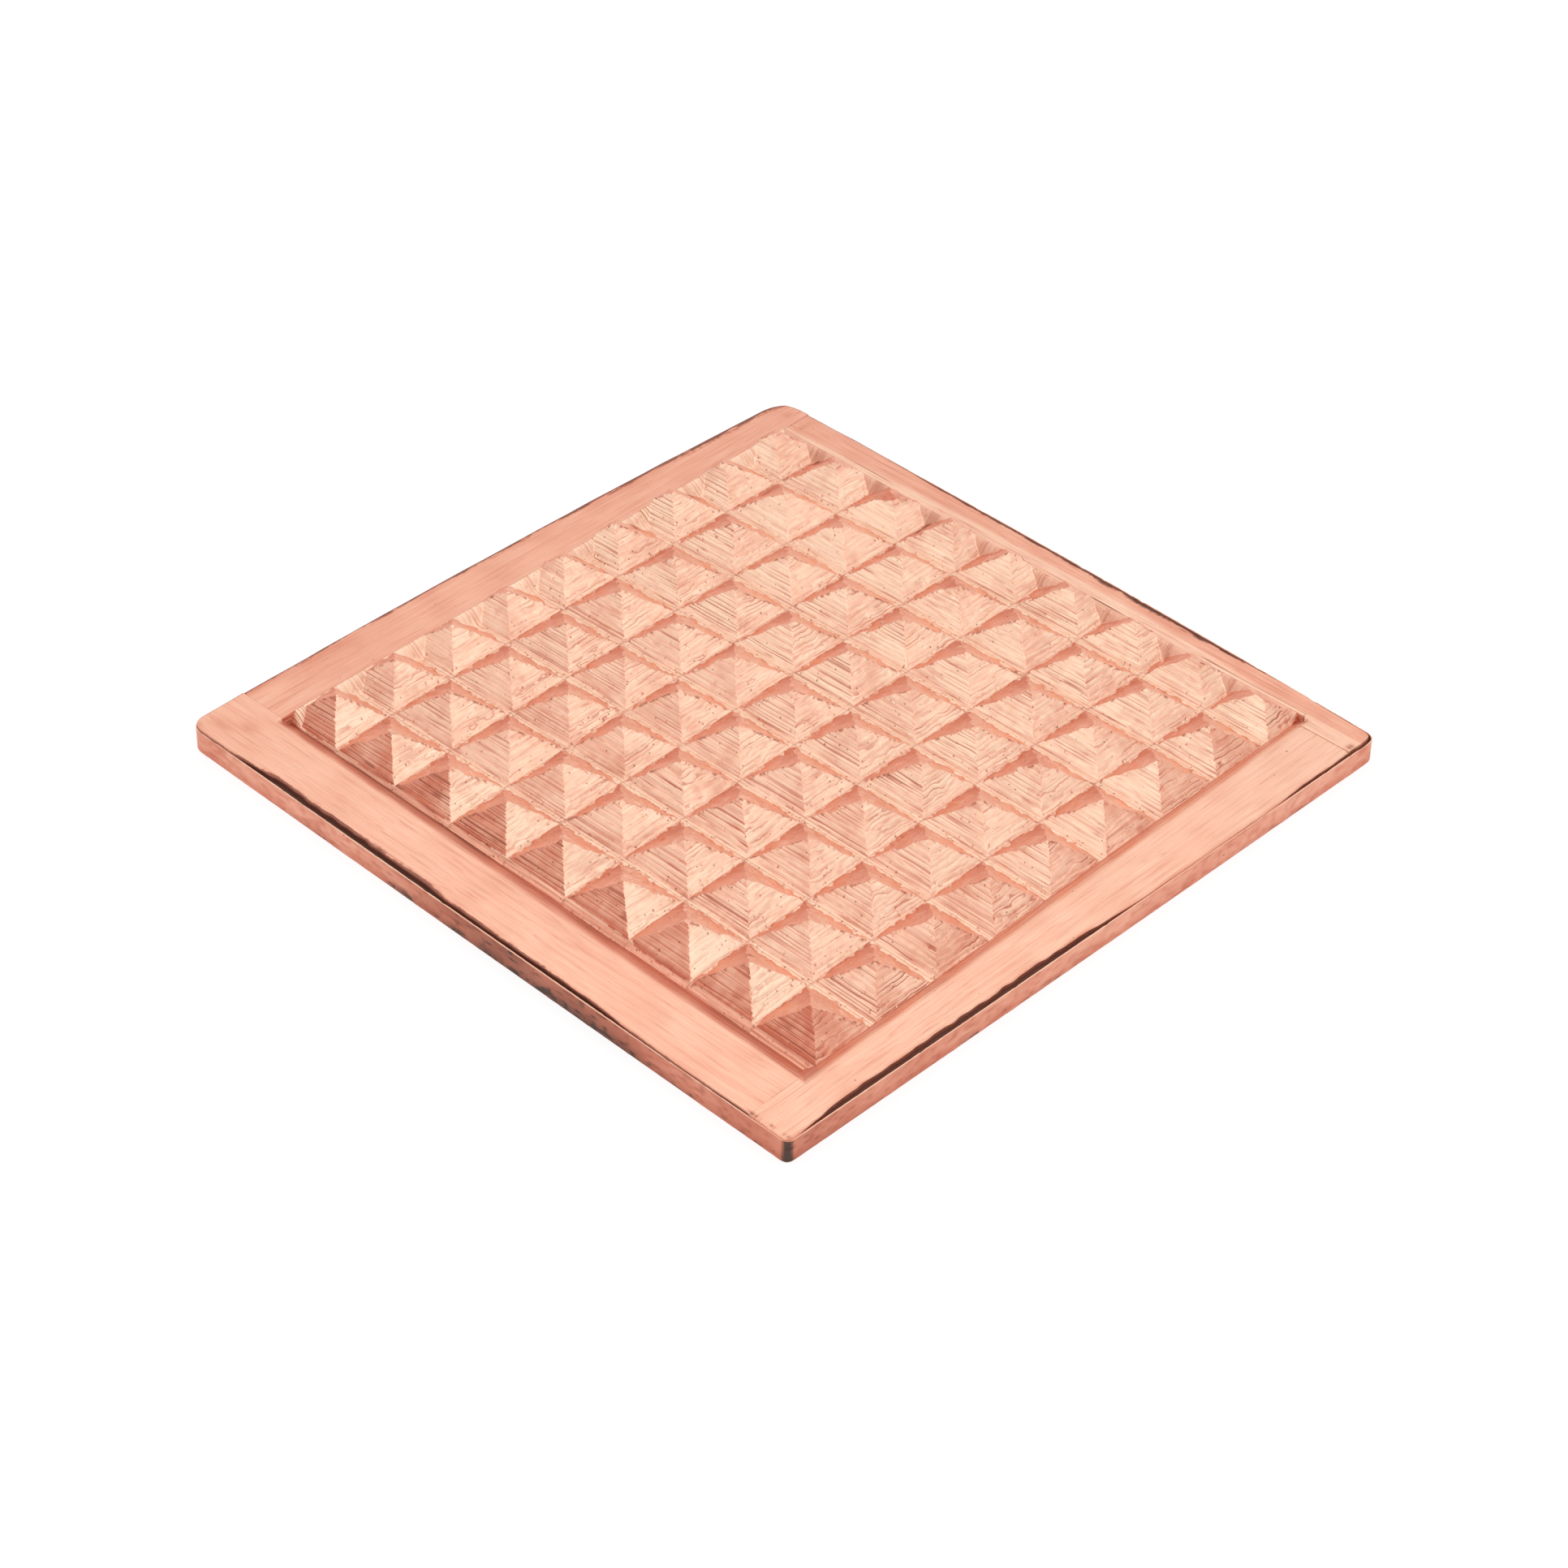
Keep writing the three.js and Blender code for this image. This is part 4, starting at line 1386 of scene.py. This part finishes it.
def floor_material():
    """Matt grey that also glows evenly, so that the floor looks white."""
    material = bpy.data.materials.new("white_floor")
    tree = fresh_tree(material)
    matt = new_node(tree, "ShaderNodeBsdfDiffuse", {"Color": FLOOR_GREY})
    dim, glow = (new_node(tree, "ShaderNodeEmission", {"Color": WHITE, "Strength": strength}).outputs[0]
                 for strength in (FLOOR_LIGHT, FLOOR_SEEN))
    shown = new_node(tree, "ShaderNodeMixShader", {0: seen_directly(tree), 1: dim, 2: glow})
    both = new_node(tree, "ShaderNodeAddShader", {0: matt.outputs[0], 1: shown.outputs[0]})
    new_node(tree, "ShaderNodeOutputMaterial", {"Surface": both.outputs[0]})
    return material


def build_floor():
    bm = bmesh.new()
    bmesh.ops.create_grid(bm, x_segments=2, y_segments=2, size=FLOOR_REACH)
    mesh = bpy.data.meshes.new("floor")
    bm.to_mesh(mesh)
    bm.free()
    mesh.materials.append(floor_material())
    floor = add_object("floor", mesh)


class PLATE_OT_stage(bpy.types.Operator):
    """Sets up the camera, the soft lamp, the white surroundings and the floor"""
    bl_idname = "plate.stage"
    bl_label = "Stage"

    def execute(self, context):
        context.scene.view_settings.view_transform = "Standard"
        build_camera()
        build_lamp()
        build_world()
        build_floor()
        return {"FINISHED"}


class PLATE_OT_base(bpy.types.Operator):
    """Builds the base with its side walls, rim and pocket"""
    bl_idname = "plate.base"
    bl_label = "Base"

    def execute(self, context):
        build_base(settings(), material_named("base_copper"))
        return {"FINISHED"}


class PLATE_OT_strips(bpy.types.Operator):
    """Builds the four border strips"""
    bl_idname = "plate.strips"
    bl_label = "Border strips"

    def execute(self, context):
        for side in SIDES:
            build_strip(side, settings().seam / MM, material_named("border_copper"))
        return {"FINISHED"}


class PLATE_OT_bars(bpy.types.Operator):
    """Builds the nine bars of carved pyramids"""
    bl_idname = "plate.bars"
    bl_label = "Pyramid bars"

    def execute(self, context):
        carving = Carving(settings())
        for number in range(COUNT):
            build_bar(number, carving, settings().cell / MM, material_named("pyramid_copper"))
        return {"FINISHED"}


OPERATORS = (PLATE_OT_stage, PLATE_OT_base, PLATE_OT_strips, PLATE_OT_bars)


class PLATE_PT_panel(bpy.types.Panel):
    """Lists the plate's settings and pieces"""
    bl_idname = "PLATE_PT_panel"
    bl_label = "Copper pyramid plate"
    bl_space_type = "VIEW_3D"
    bl_region_type = "UI"
    bl_category = "Plate"

    def draw(self, context):
        for name in PlateSettings.__annotations__:
            self.layout.prop(context.scene.plate_settings, name)
        for operator in OPERATORS:
            self.layout.operator(operator.bl_idname)


CLASSES = (PlateSettings,) + OPERATORS + (PLATE_PT_panel,)


def register():
    for item in CLASSES:
        bpy.utils.register_class(item)
    bpy.types.Scene.plate_settings = bpy.props.PointerProperty(type=PlateSettings)


def unregister():
    del bpy.types.Scene.plate_settings
    for item in reversed(CLASSES):
        bpy.utils.unregister_class(item)


def main():
    register()
    bpy.ops.plate.stage()
    bpy.ops.plate.base()
    bpy.ops.plate.strips()
    bpy.ops.plate.bars()


if __name__ == "__main__":
    main()
